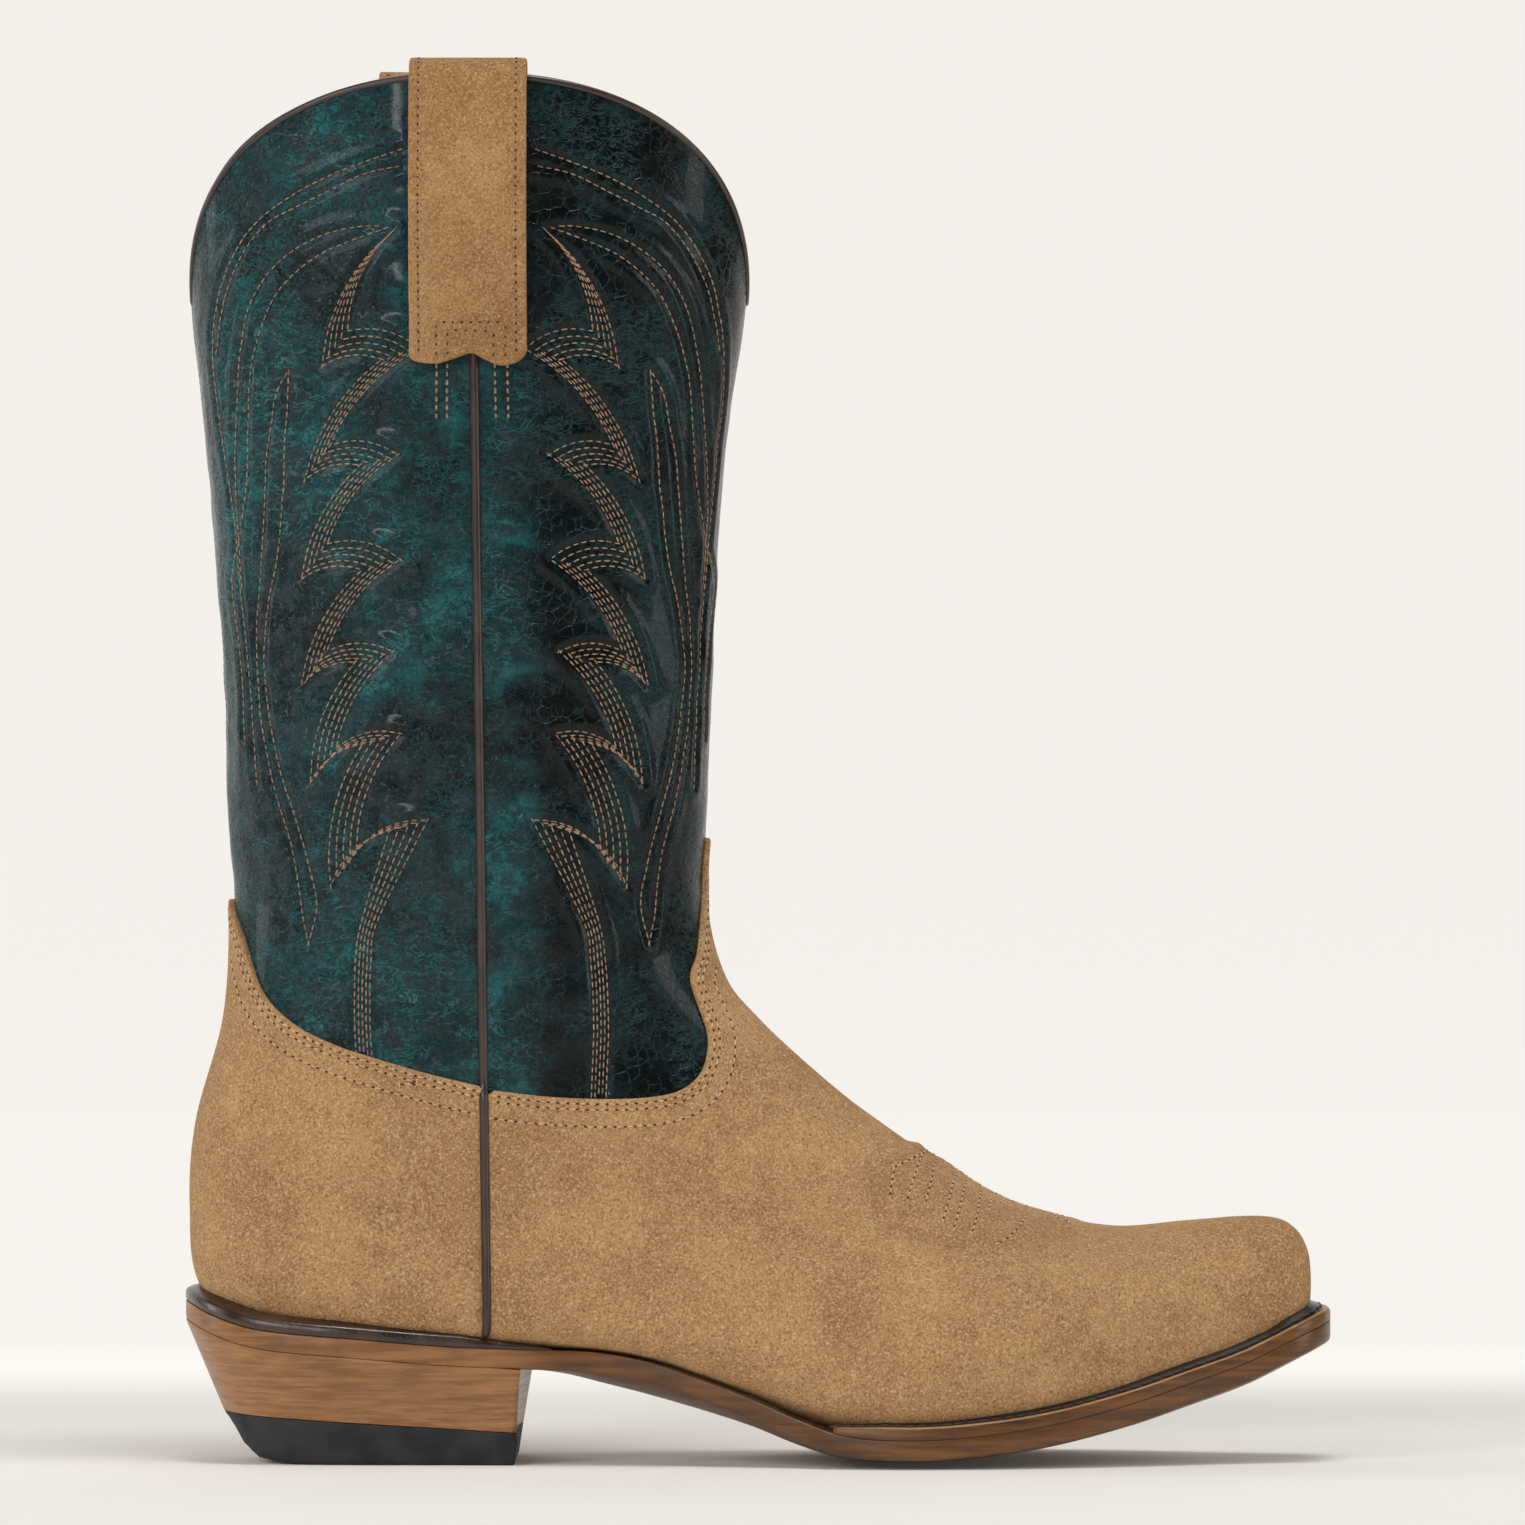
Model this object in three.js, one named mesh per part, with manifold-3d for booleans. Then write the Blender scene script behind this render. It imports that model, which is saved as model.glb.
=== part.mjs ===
// A right-foot western boot: teal leather shaft, suede vamp and heel cover, leather sole and stacked heel.
// Millimetres. +X runs from heel to toe, -Y is the outer side, +Z is up, and the floor is z = 0.
// The upper is built in three layers over one reference surface, the outside of the shaft leather:
// a lining, then shaft leather, toe box or heel stiffener, then suede where the foot is.

import * as THREE from "three";
import { mergeVertices } from "three/addons/utils/BufferGeometryUtils.js";
import Module from "manifold-3d";

const wasm = await Module();
wasm.setup();

// ---- Driving dimensions ----
const lastLength = 304; // back of the heel to the tip of the toe, on the reference surface
const ballWidth = 90.5; // across the ball, on the reference surface
const shaftTop = 379.5; // height of the top line at its two sides
const scallopDip = 63.5; // how far the top line dips at the front and the back
const gap = 0.3; // clearance between neighbouring pieces

const liningThickness = 1;
const panelThickness = 1.4; // shaft leather, and the stiffeners in the same layer
const suedeThickness = 1.6;
const lastingMargin = 12; // how far the upper is turned in under the insole

const outsoleThickness = 5.4;
const weltThickness = 3.4;
const weltLip = 2.2; // how much higher the welt stands beside the upper than at its edge
const insoleThickness = 3.4;
const sockThickness = 1.2;
const randThickness = 3.0;
const randLip = 1.6;
const shankThickness = 1.6;
const shankWidth = 13;

const pipingWidth = 2.6;
const pipingProud = 1.5; // how far the side piping stands out of the layer it lies in
const bindingThickness = 0.9;
const bindingDepth = 6; // how far the top binding reaches down each face
const seamX = -78; // where the plane of the side seams crosses the middle of the boot, at the floor
const seamTwist = 6.5; // degrees: the inner side seam lies further back than the outer one
const seamLean = 0.9; // degrees: both seams lean back as they rise

const strapX = [-80, -90.5]; // middle of the outer and the inner strap
const strapWidth = 32;
const strapThickness = 1.6;
const strapBacking = 0.9;
const strapOuterEnd = 301; // height of the strap's end outside the shaft
const strapInnerEnd = 284; // height of the strap's end inside the shaft
const strapRise = 3.6; // how far the loop stands above the top line
const fingerGap = 7.5; // between the strap and the shaft at the middle of the loop

const liftCount = 4;
const capHeight = [13.8, 9]; // rubber cap, at the back and at the breast
const heelBreast = [-64.5, -67.5]; // breast line under the outsole, and at the floor
const heelTaper = [0.22, 0.42]; // how far the heel leans in for each millimetre down, at its sides and its back
const nailRadius = 1.3;
const nailRing = 19;
const nailCount = 5;
const pegSide = 2.2;
const pegsPerSide = 6;

// ---- Scales that carry the ring and outline values below to the driving dimensions ----
const designLength = 304;
const designBall = 90.5;
const designShaftTop = 379.5;
const ankleHeight = 150;
const along = (x) => (x * lastLength) / designLength;
const across = (y) => (y * ballWidth) / designBall;
const up = (z) =>
  z <= ankleHeight
    ? z
    : ankleHeight + ((z - ankleHeight) * (shaftTop - ankleHeight)) / (designShaftTop - ankleHeight);

// Layers as distances from the reference surface, outwards positive.
const liningOuter = -panelThickness - gap;
const liningInner = liningOuter - liningThickness;
const suedeInner = gap;
const suedeOuter = suedeInner + suedeThickness;
const footClear = suedeOuter + gap;
const insideClear = liningInner - gap;

// ---- Splines ----

// Smooth curve through rows of [key, value, value...], keys rising, as a function of the key.
function rowSpline(rows) {
  const slope = (i, c) => {
    const a = rows[Math.max(i - 1, 0)];
    const b = rows[Math.min(i + 1, rows.length - 1)];
    return (b[c] - a[c]) / (b[0] - a[0]);
  };
  return (key) => {
    const t = Math.min(Math.max(key, rows[0][0]), rows[rows.length - 1][0]);
    let i = 0;
    while (i < rows.length - 2 && t > rows[i + 1][0]) i += 1;
    const span = rows[i + 1][0] - rows[i][0];
    const u = (t - rows[i][0]) / span;
    const h = [2 * u ** 3 - 3 * u ** 2 + 1, u ** 3 - 2 * u ** 2 + u, -2 * u ** 3 + 3 * u ** 2, u ** 3 - u ** 2];
    return rows[i].slice(1).map((value, k) => {
      const c = k + 1;
      return h[0] * value + h[1] * span * slope(i, c) + h[2] * rows[i + 1][c] + h[3] * span * slope(i + 1, c);
    });
  };
}

// ---- Sole profile: the middle line's height above the floor, and how much higher the edges are ----
const soleRows = rowSpline([
  [-160, 39.5, 0],
  [-150, 35, 0],
  [-138, 31.6, 0],
  [-112, 29.2, 0],
  [-85, 27, 0],
  [-68, 26.2, 0.2],
  [-55, 24.2, 1.9],
  [-44, 21.4, 4],
  [-30, 17.8, 5],
  [-14, 13.2, 4.2],
  [-2, 9.3, 3.6],
  [9, 4.9, 3.2],
  [22, 1, 2.8],
  [38, 0.02, 2.5],
  [55, 0.8, 2.5],
  [77, 3.8, 2.4],
  [100, 9.5, 2.2],
  [116, 14.8, 2],
  [133, 20.9, 1.8],
  [149, 29, 1.7],
  [160, 35.5, 1.6],
]);
const soleHeight = (x) => soleRows(x / along(1))[0];
const soleCrown = (x) => soleRows(x / along(1))[1];
const margins = outsoleThickness + gap + suedeOuter;
const seat = (x) => soleHeight(x) + soleCrown(x) + margins - 0.5; // bottom of the reference surface

// ---- Plan of the feather line: x, half width on the outer side, half width on the inner side ----
const planRows = [
  [-148, 15, 15],
  [-138, 24.5, 24.5],
  [-122, 29, 29],
  [-95, 29, 28.5],
  [-70, 28.5, 27.5],
  [-45, 29.5, 26.5],
  [-20, 34, 28.5],
  [0, 38.5, 32],
  [20, 42.5, 37.5],
  [40, 44.5, 42.5],
  [60, 43, 44],
  [80, 38, 40.5],
  [100, 30.5, 34],
  [120, 22, 25.5],
  [135, 16, 19],
  [143, 13, 16],
];
const planWidths = rowSpline(planRows);
const backX = along(-152.5);
const tipX = along(147.5);

// How far the sole's edge stands outside the feather line.
const soleEdge = rowSpline([
  [-155, 6.2],
  [-125, 4.2],
  [-64, 3.6],
  [-48, 0.4],
  [-30, -1],
  [-6, -0.6],
  [12, 3],
  [20, 5.4],
  [60, 6.2],
  [135, 6.5],
  [148, 8.6],
]);

// Closed outline of the feather line moved outwards by edge(x), as points in plan.
function planOutline(edge, stepsPerRow = 2) {
  const outer = planRows.map(([x, w]) => new THREE.Vector3(along(x), -across(w), 0));
  const inner = planRows.map(([x, , w]) => new THREE.Vector3(along(x), across(w), 0));
  const tip = [
    new THREE.Vector3(tipX - 0.8, across(-8.5), 0),
    new THREE.Vector3(tipX, across(1.5), 0),
    new THREE.Vector3(tipX - 0.8, across(11.5), 0),
  ];
  const control = [new THREE.Vector3(backX, 0, 0), ...outer, ...tip, ...inner.reverse()];
  const curve = new THREE.CatmullRomCurve3(control, true, "centripetal");
  const count = control.length * stepsPerRow;
  return Array.from({ length: count }, (_, i) => {
    const p = curve.getPoint(i / count);
    const t = curve.getTangent(i / count);
    const e = edge(p.x / along(1))[0];
    return new THREE.Vector2(p.x + t.y * e, p.y - t.x * e);
  });
}

// ---- The reference surface: rings from the top of the shaft to the tip of the toe ----
// Each ring lies in a plane across the boot, through a back (or bottom) and a front (or top) point.
// Columns: back x, back z, front x, front z, half width outer, half width inner,
// share of the ring where it is widest, squareness of its front half, squareness of its back half.
const onSeat = null; // a back point that lies on the sole's seat
const rings = [
  [-158, 390, -1, 390, 39, 39, 0.5, 2.3, 2.3],
  [-157.5, 345, -3, 345, 39, 39, 0.5, 2.3, 2.3],
  [-156.2, 316, -5, 316, 38.5, 38.5, 0.5, 2.3, 2.3],
  [-153.3, 285, -9.6, 285, 37.5, 37.5, 0.5, 2.3, 2.3],
  [-150.2, 250, -12.6, 250, 36.5, 36.5, 0.5, 2.3, 2.3],
  [-147.6, 212, -14.3, 212, 36, 36, 0.5, 2.3, 2.3],
  [-146.5, 175, -15.6, 178, 35, 35, 0.5, 2.3, 2.3],
  [-144.9, 148, -16.7, 151, 34, 34, 0.5, 2.2, 2.2],
  [-146.6, 121, -11.5, 131.5, 33, 33, 0.47, 2.2, 2.2],
  [-154, 93, -2, 119.7, 32.5, 32.5, 0.4, 2.2, 2.2],
  [-155.6, 70, 10, 108.4, 32, 32, 0.34, 2.2, 2.2],
  [-152.4, 48, 22, 98.2, 32, 32, 0.29, 2.2, 2.5],
  [-136, onSeat, 30, 92.3, 32, 31.5, 0.28, 2.2, 3.3],
  [-112, onSeat, 36, 88, 32, 31, 0.28, 2.2, 4.6],
  [-80, onSeat, 41.5, 84.1, 32.5, 31, 0.29, 2.1, 5.2],
  [-40, onSeat, 49, 79.2, 35, 32.5, 0.3, 2.1, 5.5],
  [0, onSeat, 58, 73.9, 41.5, 37.5, 0.3, 2, 5.5],
  [40, onSeat, 72.5, 67.4, 46.5, 44, 0.3, 2, 5.5],
  [80, onSeat, 96, 62.5, 38.5, 40.5, 0.33, 2.1, 5.5],
  [112, onSeat, 118, 64, 25, 28.5, 0.38, 2.4, 5.5],
  [133, onSeat, 134, 65.1, 17, 20, 0.42, 2.8, 5],
  [142, onSeat, 142, 64.3, 14, 16.8, 0.45, 3, 4.6],
  [146, onSeat, 145.8, 61.6, 12, 14.4, 0.47, 3, 4],
  [148, 40.5, 148, 57.2, 9.4, 11.4, 0.5, 3, 3.2],
  [148.7, 45, 148.7, 52.5, 4.6, 6.4, 0.5, 2.6, 2.6],
];
const toePole = { x: 148.8, y: 0.8, z: 48.8 };

// The back point's height is kept as a rise above the seat, so every layer follows the sole exactly.
const placedRings = rings.map(([bx, bz, fx, fz, wo, wi, ...shape]) => {
  const rise = bz === onSeat ? 0 : up(bz) - seat(along(bx));
  return [along(bx), rise, along(fx), up(fz), across(wo), across(wi), ...shape];
});
const ringKeys = placedRings.reduce((keys, ring, i) => {
  if (i === 0) return [0];
  const before = placedRings[i - 1];
  const back = Math.hypot(ring[0] - before[0], ring[1] + seat(ring[0]) - before[1] - seat(before[0]));
  const front = Math.hypot(ring[2] - before[2], ring[3] - before[3]);
  return [...keys, keys[i - 1] + (back + front) / 2];
}, []);
const ringSpline = rowSpline(placedRings.map((ring, i) => [ringKeys[i], ...ring]));

const power = (value, squareness) => Math.sign(value) * Math.abs(value) ** (2 / squareness);

// Point of the reference surface. ring counts along the rings, turn goes round: 0 at the front, PI at the back.
function surfacePoint(ring, turn) {
  const i = Math.min(Math.floor(ring), ringKeys.length - 2);
  const key = ringKeys[i] + (ring - i) * (ringKeys[i + 1] - ringKeys[i]);
  const [bx, rise, fx, fz, wo, wi, widest, frontSquare, backSquare] = ringSpline(key);
  const bz = seat(bx) + rise;
  const c = Math.cos(turn);
  const s = Math.sin(turn);
  const squareness = c > 0 ? frontSquare : backSquare;
  const share = c > 0 ? widest + (1 - widest) * power(c, squareness) : widest + widest * power(c, squareness);
  const y = s > 0 ? -wo * power(s, squareness) : -wi * power(s, squareness);
  return new THREE.Vector3(bx + share * (fx - bx), y, bz + share * (fz - bz));
}

function surfaceNormal(ring, turn) {
  const step = 0.01;
  const top = Math.min(ring + step, ringKeys.length - 1);
  const low = Math.max(ring - step, 0);
  const lengthwise = surfacePoint(top, turn).sub(surfacePoint(low, turn));
  const around = surfacePoint(ring, turn + step).sub(surfacePoint(ring, turn - step));
  return around.cross(lengthwise).normalize();
}

// ---- Solids ----

// A closed geometry as a manifold-3d solid, with its faces turned outwards.
function toSolid(geometry) {
  const bare = geometry.index ? geometry.toNonIndexed() : geometry.clone();
  const merged = mergeVertices(new THREE.BufferGeometry().setAttribute("position", bare.getAttribute("position")), 1e-4);
  const vertProperties = new Float32Array(merged.getAttribute("position").array);
  const triVerts = new Uint32Array(merged.index.array);
  const made = new wasm.Manifold(new wasm.Mesh({ numProp: 3, vertProperties, triVerts }));
  if (made.volume() >= 0) return made;
  for (let i = 0; i < triVerts.length; i += 3) [triVerts[i], triVerts[i + 1]] = [triVerts[i + 1], triVerts[i]];
  return new wasm.Manifold(new wasm.Mesh({ numProp: 3, vertProperties, triVerts }));
}

const flatness = 0.1; // faces closer to flat than this are joined
function toGeometry(solid) {
  const { numProp, numVert, vertProperties, triVerts } = solid.simplify(flatness).getMesh();
  const position = new Float32Array(numVert * 3);
  for (let i = 0; i < numVert; i += 1) position.set(vertProperties.subarray(i * numProp, i * numProp + 3), i * 3);
  const geometry = new THREE.BufferGeometry();
  geometry.setAttribute("position", new THREE.BufferAttribute(position, 3));
  geometry.setIndex(new THREE.BufferAttribute(triVerts, 1));
  return geometry;
}

// Triangles between rows of points, each row closed on itself, with a point at each end.
function skin(rows, first, last) {
  const points = [first, ...rows.flat(), last];
  const n = rows[0].length;
  const index = [];
  const at = (r, j) => 1 + r * n + (j % n);
  for (let j = 0; j < n; j += 1) index.push(0, at(0, j + 1), at(0, j));
  for (let r = 0; r < rows.length - 1; r += 1)
    for (let j = 0; j < n; j += 1) {
      index.push(at(r, j), at(r, j + 1), at(r + 1, j));
      index.push(at(r, j + 1), at(r + 1, j + 1), at(r + 1, j));
    }
  for (let j = 0; j < n; j += 1) index.push(at(rows.length - 1, j), at(rows.length - 1, j + 1), points.length - 1);
  const geometry = new THREE.BufferGeometry().setFromPoints(points);
  geometry.setIndex(index);
  return toSolid(geometry);
}

// Rows of the boot mesh: whole rings, with half steps where the boot bends.
const segments = 16;
const ringSteps = [
  0, 2, 3, 4, 5, 6, 7, 8, 8.5, 9, 9.5, 10, 10.5, 11, 11.5, 12, 13, 13.5, 14, 14.5, 15, 15.5, 16, 16.5, 17, 17.5, 18, 19, 20, 21, 22,
  23, 24,
];

// Everything inside the reference surface moved outwards by distance: a sock, closed at the top and the toe.
function sock(distance) {
  const row = (ring) =>
    Array.from({ length: segments }, (_, j) => {
      const turn = (2 * Math.PI * j) / segments;
      return surfacePoint(ring, turn).addScaledVector(surfaceNormal(ring, turn), distance);
    });
  const top = new THREE.Vector3(along(seamX), 0, up(rings[0][1]));
  const pole = new THREE.Vector3(along(toePole.x) + distance, across(toePole.y), toePole.z);
  return skin(ringSteps.map(row), top, pole);
}

// A shape drawn in side view as [x, z] points and run across the boot from y = from to y = to.
function sideBlock(points, from = -90, to = 90) {
  const shape = new THREE.Shape(points.map(([x, z]) => new THREE.Vector2(x, z)));
  const geometry = new THREE.ExtrudeGeometry(shape, { depth: to - from, bevelEnabled: false });
  geometry.rotateX(Math.PI / 2);
  geometry.translate(0, to, 0);
  return toSolid(geometry);
}

function box(low, high) {
  const geometry = new THREE.BoxGeometry(high[0] - low[0], high[1] - low[1], high[2] - low[2]);
  geometry.translate((low[0] + high[0]) / 2, (low[1] + high[1]) / 2, (low[2] + high[2]) / 2);
  return toSolid(geometry);
}

// A slab over a closed plan outline. bottom and top give heights at (point, inset from the edge).
// Its outline starts at the back and is paired across the middle line, so that its faces run straight across.
function slab(outline, insets, bottom, top) {
  const centre = (p) => {
    const x = Math.min(Math.max(p.x, backX + across(26)), tipX - across(14));
    const [outer, inner] = planWidths(x / along(1));
    return new THREE.Vector2(x, (across(inner) - across(outer)) / 2);
  };
  const loops = insets.map((inset, k) =>
    outline.map((p) => {
      const c = centre(p);
      return p.clone().lerp(c, Math.min(inset / p.distanceTo(c), (0.85 * k) / (insets.length - 1)));
    }),
  );
  const row = (k, height) => loops[k].map((p) => new THREE.Vector3(p.x, p.y, height(p, insets[k])));
  const order = insets.map((_, k) => k);
  const rows = [...order.toReversed().map((k) => row(k, top)), ...order.map((k) => row(k, bottom))];
  const n = outline.length;
  const index = [];
  for (let r = 0; r < rows.length - 1; r += 1)
    for (let j = 0; j < n; j += 1) {
      const [a, b] = [r * n + j, r * n + ((j + 1) % n)];
      index.push(a, a + n, b, b, a + n, b + n);
    }
  const bottomStart = (rows.length - 1) * n;
  const across3 = (i, j, k) => {
    index.push(i, j, k);
    index.push(bottomStart + i, bottomStart + k, bottomStart + j);
  };
  across3(0, 1, n - 1);
  for (let i = 1; i < n / 2 - 1; i += 1) {
    across3(i, i + 1, n - i);
    across3(i + 1, n - i - 1, n - i);
  }
  across3(n / 2 - 1, n / 2, n / 2 + 1);
  const geometry = new THREE.BufferGeometry().setFromPoints(rows.flat());
  geometry.setIndex(index);
  return toSolid(geometry);
}

// ---- Cutting tools ----

const floorZ = -20;
const skyZ = 600;
const farX = 400;

// The seam plane: everything in front of it by more than the given distance.
function inFrontOfSeam(distance) {
  const geometry = new THREE.BoxGeometry(farX, farX, skyZ - floorZ);
  geometry.translate(farX / 2 + distance, 0, (skyZ + floorZ) / 2);
  geometry.rotateZ(THREE.MathUtils.degToRad(seamTwist));
  geometry.rotateY(THREE.MathUtils.degToRad(-seamLean));
  geometry.translate(along(seamX), 0, 0);
  return toSolid(geometry);
}

// Height of the scalloped top line over x, lowered by drop.
function topLine(x, drop) {
  const middle = along((rings[2][0] + rings[2][2]) / 2);
  const half = along((rings[2][2] - rings[2][0]) / 2) + 1.6;
  const q = Math.min(Math.abs((x - middle) / half), 1);
  const rise = (1 - q ** 2.2 + 0.004) ** 0.36;
  return shaftTop - scallopDip + scallopDip * Math.min(rise, 1) - drop;
}

function belowTopLine(drop) {
  const steps = 26;
  const from = along(-166);
  const to = along(6);
  const line = Array.from({ length: steps + 1 }, (_, i) => {
    const x = (from + to) / 2 - ((to - from) / 2) * Math.cos((Math.PI * i) / steps);
    return [x, topLine(x, drop)];
  });
  return sideBlock([[-farX, floorZ], [farX, floorZ], [farX, line[steps][1]], ...line.toReversed(), [-farX, line[0][1]]]);
}

// Side-view lines where the suede ends, from the side seam to the tip at the front or the back.
const vampLine = [
  [-73, 102.4], [-60, 100.8], [-46, 100], [-34, 100.1], [-25.5, 101.2], [-20.6, 103.3], [-17, 107], [-15.3, 112.5],
  [-15.5, 118], [-17.5, 124], [-19.6, 130.2], [-19.9, 133.8], [-18.3, 139], [-17.5, 147], [-16.8, 157],
  [-16, 165], [-15.2, 170.5],
];
const counterLine = [
  [-77, 103.6], [-90, 106.7], [-104, 110.7], [-115, 114.2], [-125.6, 119], [-132.6, 124.6], [-137.2, 131.2],
  [-139.8, 138], [-142, 144.4], [-144.2, 150], [-145.4, 153.8],
];
const placed = (line) => line.map(([x, z]) => [along(x), up(z)]);

function belowLine(line, farEnd) {
  const first = line[0];
  const last = line[line.length - 1];
  const start = farEnd > 0 ? -20 : 20;
  return sideBlock([
    [first[0] + start, floorZ],
    [first[0] + start, first[1]],
    ...line,
    [farEnd, last[1]],
    [farEnd, floorZ],
  ]);
}

const vampRegion = () => belowLine(placed(vampLine), farX);
const counterRegion = () => belowLine(placed(counterLine), -farX);

// Lines under the suede where the shaft leather ends and the stiffeners begin.
const lapFront = placed([[-80, 88], [30, 116]]);
const lapBack = placed([[-80, 88], [-125, 90], [-165, 104]]);
const toeBoxLine = placed([[108, 10], [92, 80]]);
const shiftZ = (line, dz) => line.map(([x, z]) => [x, z + dz]);

function belowLap(line, dz, farEnd) {
  return belowLine(shiftZ(line, dz), farEnd);
}

function aheadOfToeLine(dx) {
  return sideBlock([
    [toeBoxLine[0][0] + dx, floorZ],
    [farX, floorZ],
    [farX, 90],
    [toeBoxLine[1][0] + dx, 90],
    [toeBoxLine[0][0] + dx, toeBoxLine[0][1]],
  ]);
}

// The opening left under the insole by the turned-in margins, made smaller by inset.
function bottomOpening(inset) {
  const stations = [-141, -132, -122, -95, -70, -45, -20, 0, 20, 40, 60, 80, 100, 116, 124].map(along);
  const half = (x, side) => across(planWidths(x / along(1))[side]) - lastingMargin - inset;
  const shape = [
    ...stations.map((x) => new THREE.Vector2(x, -half(x, 0))),
    ...stations.toReversed().map((x) => new THREE.Vector2(x, half(x, 1))),
  ];
  shape[0].x += inset;
  shape[shape.length - 1].x += inset;
  shape[stations.length - 1].x -= inset;
  shape[stations.length].x -= inset;
  return shape;
}

function prism(outline, low, high) {
  const geometry = new THREE.ExtrudeGeometry(new THREE.Shape(outline), { depth: high - low, bevelEnabled: false });
  geometry.translate(0, 0, low);
  return toSolid(geometry);
}

const seatOpening = () => prism(bottomOpening(0), floorZ, seat(along(-40)) + 22).intersect(underSeat(6));

// Everything lower than the seat raised by rise.
function underSeat(rise) {
  const count = 30;
  const stations = Array.from({ length: count + 1 }, (_, i) => backX - 12 + ((tipX - backX + 26) * i) / count);
  return sideBlock([
    [backX - 12, floorZ],
    [tipX + 14, floorZ],
    ...stations.toReversed().map((x) => [x, seat(x) + rise]),
  ]);
}

// ---- The upper ----

const sockAt = new Map();
function sockSolid(distance) {
  if (!sockAt.has(distance)) sockAt.set(distance, sock(distance));
  return sockAt.get(distance);
}
const layer = (inner, outer) => sockSolid(outer).subtract(sockSolid(inner));

const seamGap = pipingWidth / 2 + gap;
const frontHalf = () => inFrontOfSeam(seamGap);
const backHalf = () => inFrontOfSeam(-seamGap);
const trimDrop = bindingThickness + gap;

function liningPieces() {
  const all = layer(liningInner, liningOuter).intersect(belowTopLine(trimDrop)).subtract(seatOpening());
  const front = all.intersect(inFrontOfSeam(gap / 2));
  const back = all.subtract(inFrontOfSeam(-gap / 2));
  const frontFoot = belowLap(lapFront, 8, farX);
  const backFoot = belowLap(lapBack, 8, -farX);
  return {
    shaft_lining_front: front.subtract(belowLap(lapFront, 8 + gap, farX)),
    vamp_lining: front.intersect(frontFoot),
    shaft_lining_back: back.subtract(belowLap(lapBack, 8 + gap, -farX)),
    heel_lining: back.intersect(backFoot),
  };
}

function panelPieces() {
  const all = layer(-panelThickness, 0).intersect(belowTopLine(trimDrop)).subtract(seatOpening());
  const front = all.intersect(frontHalf());
  const back = all.subtract(backHalf());
  const frontFoot = front.intersect(belowLap(lapFront, -gap, farX));
  return {
    shaft_front: front.subtract(belowLap(lapFront, 0, farX)),
    shaft_back: back.subtract(belowLap(lapBack, 0, -farX)),
    vamp_interlining: frontFoot.subtract(aheadOfToeLine(-gap)),
    toe_box: frontFoot.intersect(aheadOfToeLine(0)),
    heel_stiffener: back.intersect(belowLap(lapBack, -gap, -farX)),
  };
}

function suedePieces() {
  const all = layer(suedeInner, suedeOuter).subtract(seatOpening());
  return {
    vamp: all.intersect(frontHalf()).intersect(vampRegion()),
    heel_cover: all.subtract(backHalf()).intersect(counterRegion()),
  };
}

// The bead in each side seam, from the sole to the binding. It lies higher where it runs between the suede pieces.
function pipingPiece(side) {
  const half = pipingWidth / 2;
  const strip = inFrontOfSeam(-half).subtract(inFrontOfSeam(half));
  const sideOnly = side < 0 ? box([-farX, -90, floorZ], [farX, -4, skyZ]) : box([-farX, 4, floorZ], [farX, 90, skyZ]);
  const footPart = layer(-panelThickness, suedeOuter + pipingProud - 0.3).intersect(
    box([-farX, -90, floorZ], [farX, 90, up(vampLine[0][1]) + 2]),
  );
  return layer(-panelThickness, pipingProud)
    .add(footPart)
    .subtract(underRand().subtract(sockSolid(suedeOuter)))
    .intersect(strip)
    .intersect(sideOnly)
    .intersect(belowTopLine(bindingDepth + gap))
    .subtract(seatOpening());
}

// The dark strip folded over the top edge, in a front and a back half.
function bindingPieces() {
  const band = belowTopLine(0).subtract(belowTopLine(bindingDepth));
  const whole = layer(liningInner - gap - bindingThickness, gap + bindingThickness).intersect(band);
  const groove = layer(liningInner - gap, gap).intersect(belowTopLine(bindingThickness));
  const folded = whole.subtract(groove);
  return {
    top_binding_front: folded.intersect(inFrontOfSeam(gap / 2)),
    top_binding_back: folded.subtract(inFrontOfSeam(-gap / 2)),
  };
}

// ---- Pull straps ----

// Distance from the middle plane and height of the line a strap follows, from its outer end over the top to its inner end.
function strapPath() {
  const outside = across(39) + pipingProud + gap;
  const inside = across(39) + liningInner - gap - bindingThickness - gap - 0.6;
  const topZ = shaftTop + strapRise - strapThickness - gap - strapBacking;
  const bow = fingerGap;
  const lowOut = across(38.3) + pipingProud + gap;
  return [
    [lowOut, up(strapOuterEnd)],
    [lowOut + 0.3, up(strapOuterEnd + 12)],
    [outside + bow * 0.55, up(322)],
    [outside + bow, up(341)],
    [outside + bow * 0.9, up(358)],
    [outside + bow * 0.5, shaftTop - 6],
    [outside - 0.4, topZ - 0.5],
    [inside + 2.8, topZ],
    [inside + 0.3, shaftTop + 1],
    [inside - 0.5, shaftTop - 5],
    [inside - 0.5, shaftTop - 16],
    [inside - 0.5, up(330)],
    [inside - 1.2, up(strapInnerEnd)],
  ];
}

// How much nearer the middle plane the shaft's side lies at x than where it is widest.
function sideDrop(x) {
  const [bx, , fx, , half, , , squareness] = rings[1];
  const share = Math.abs(x - along((bx + fx) / 2)) / along((fx - bx) / 2);
  return across(half) * (1 - (1 - share ** squareness) ** (1 / squareness));
}

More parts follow.
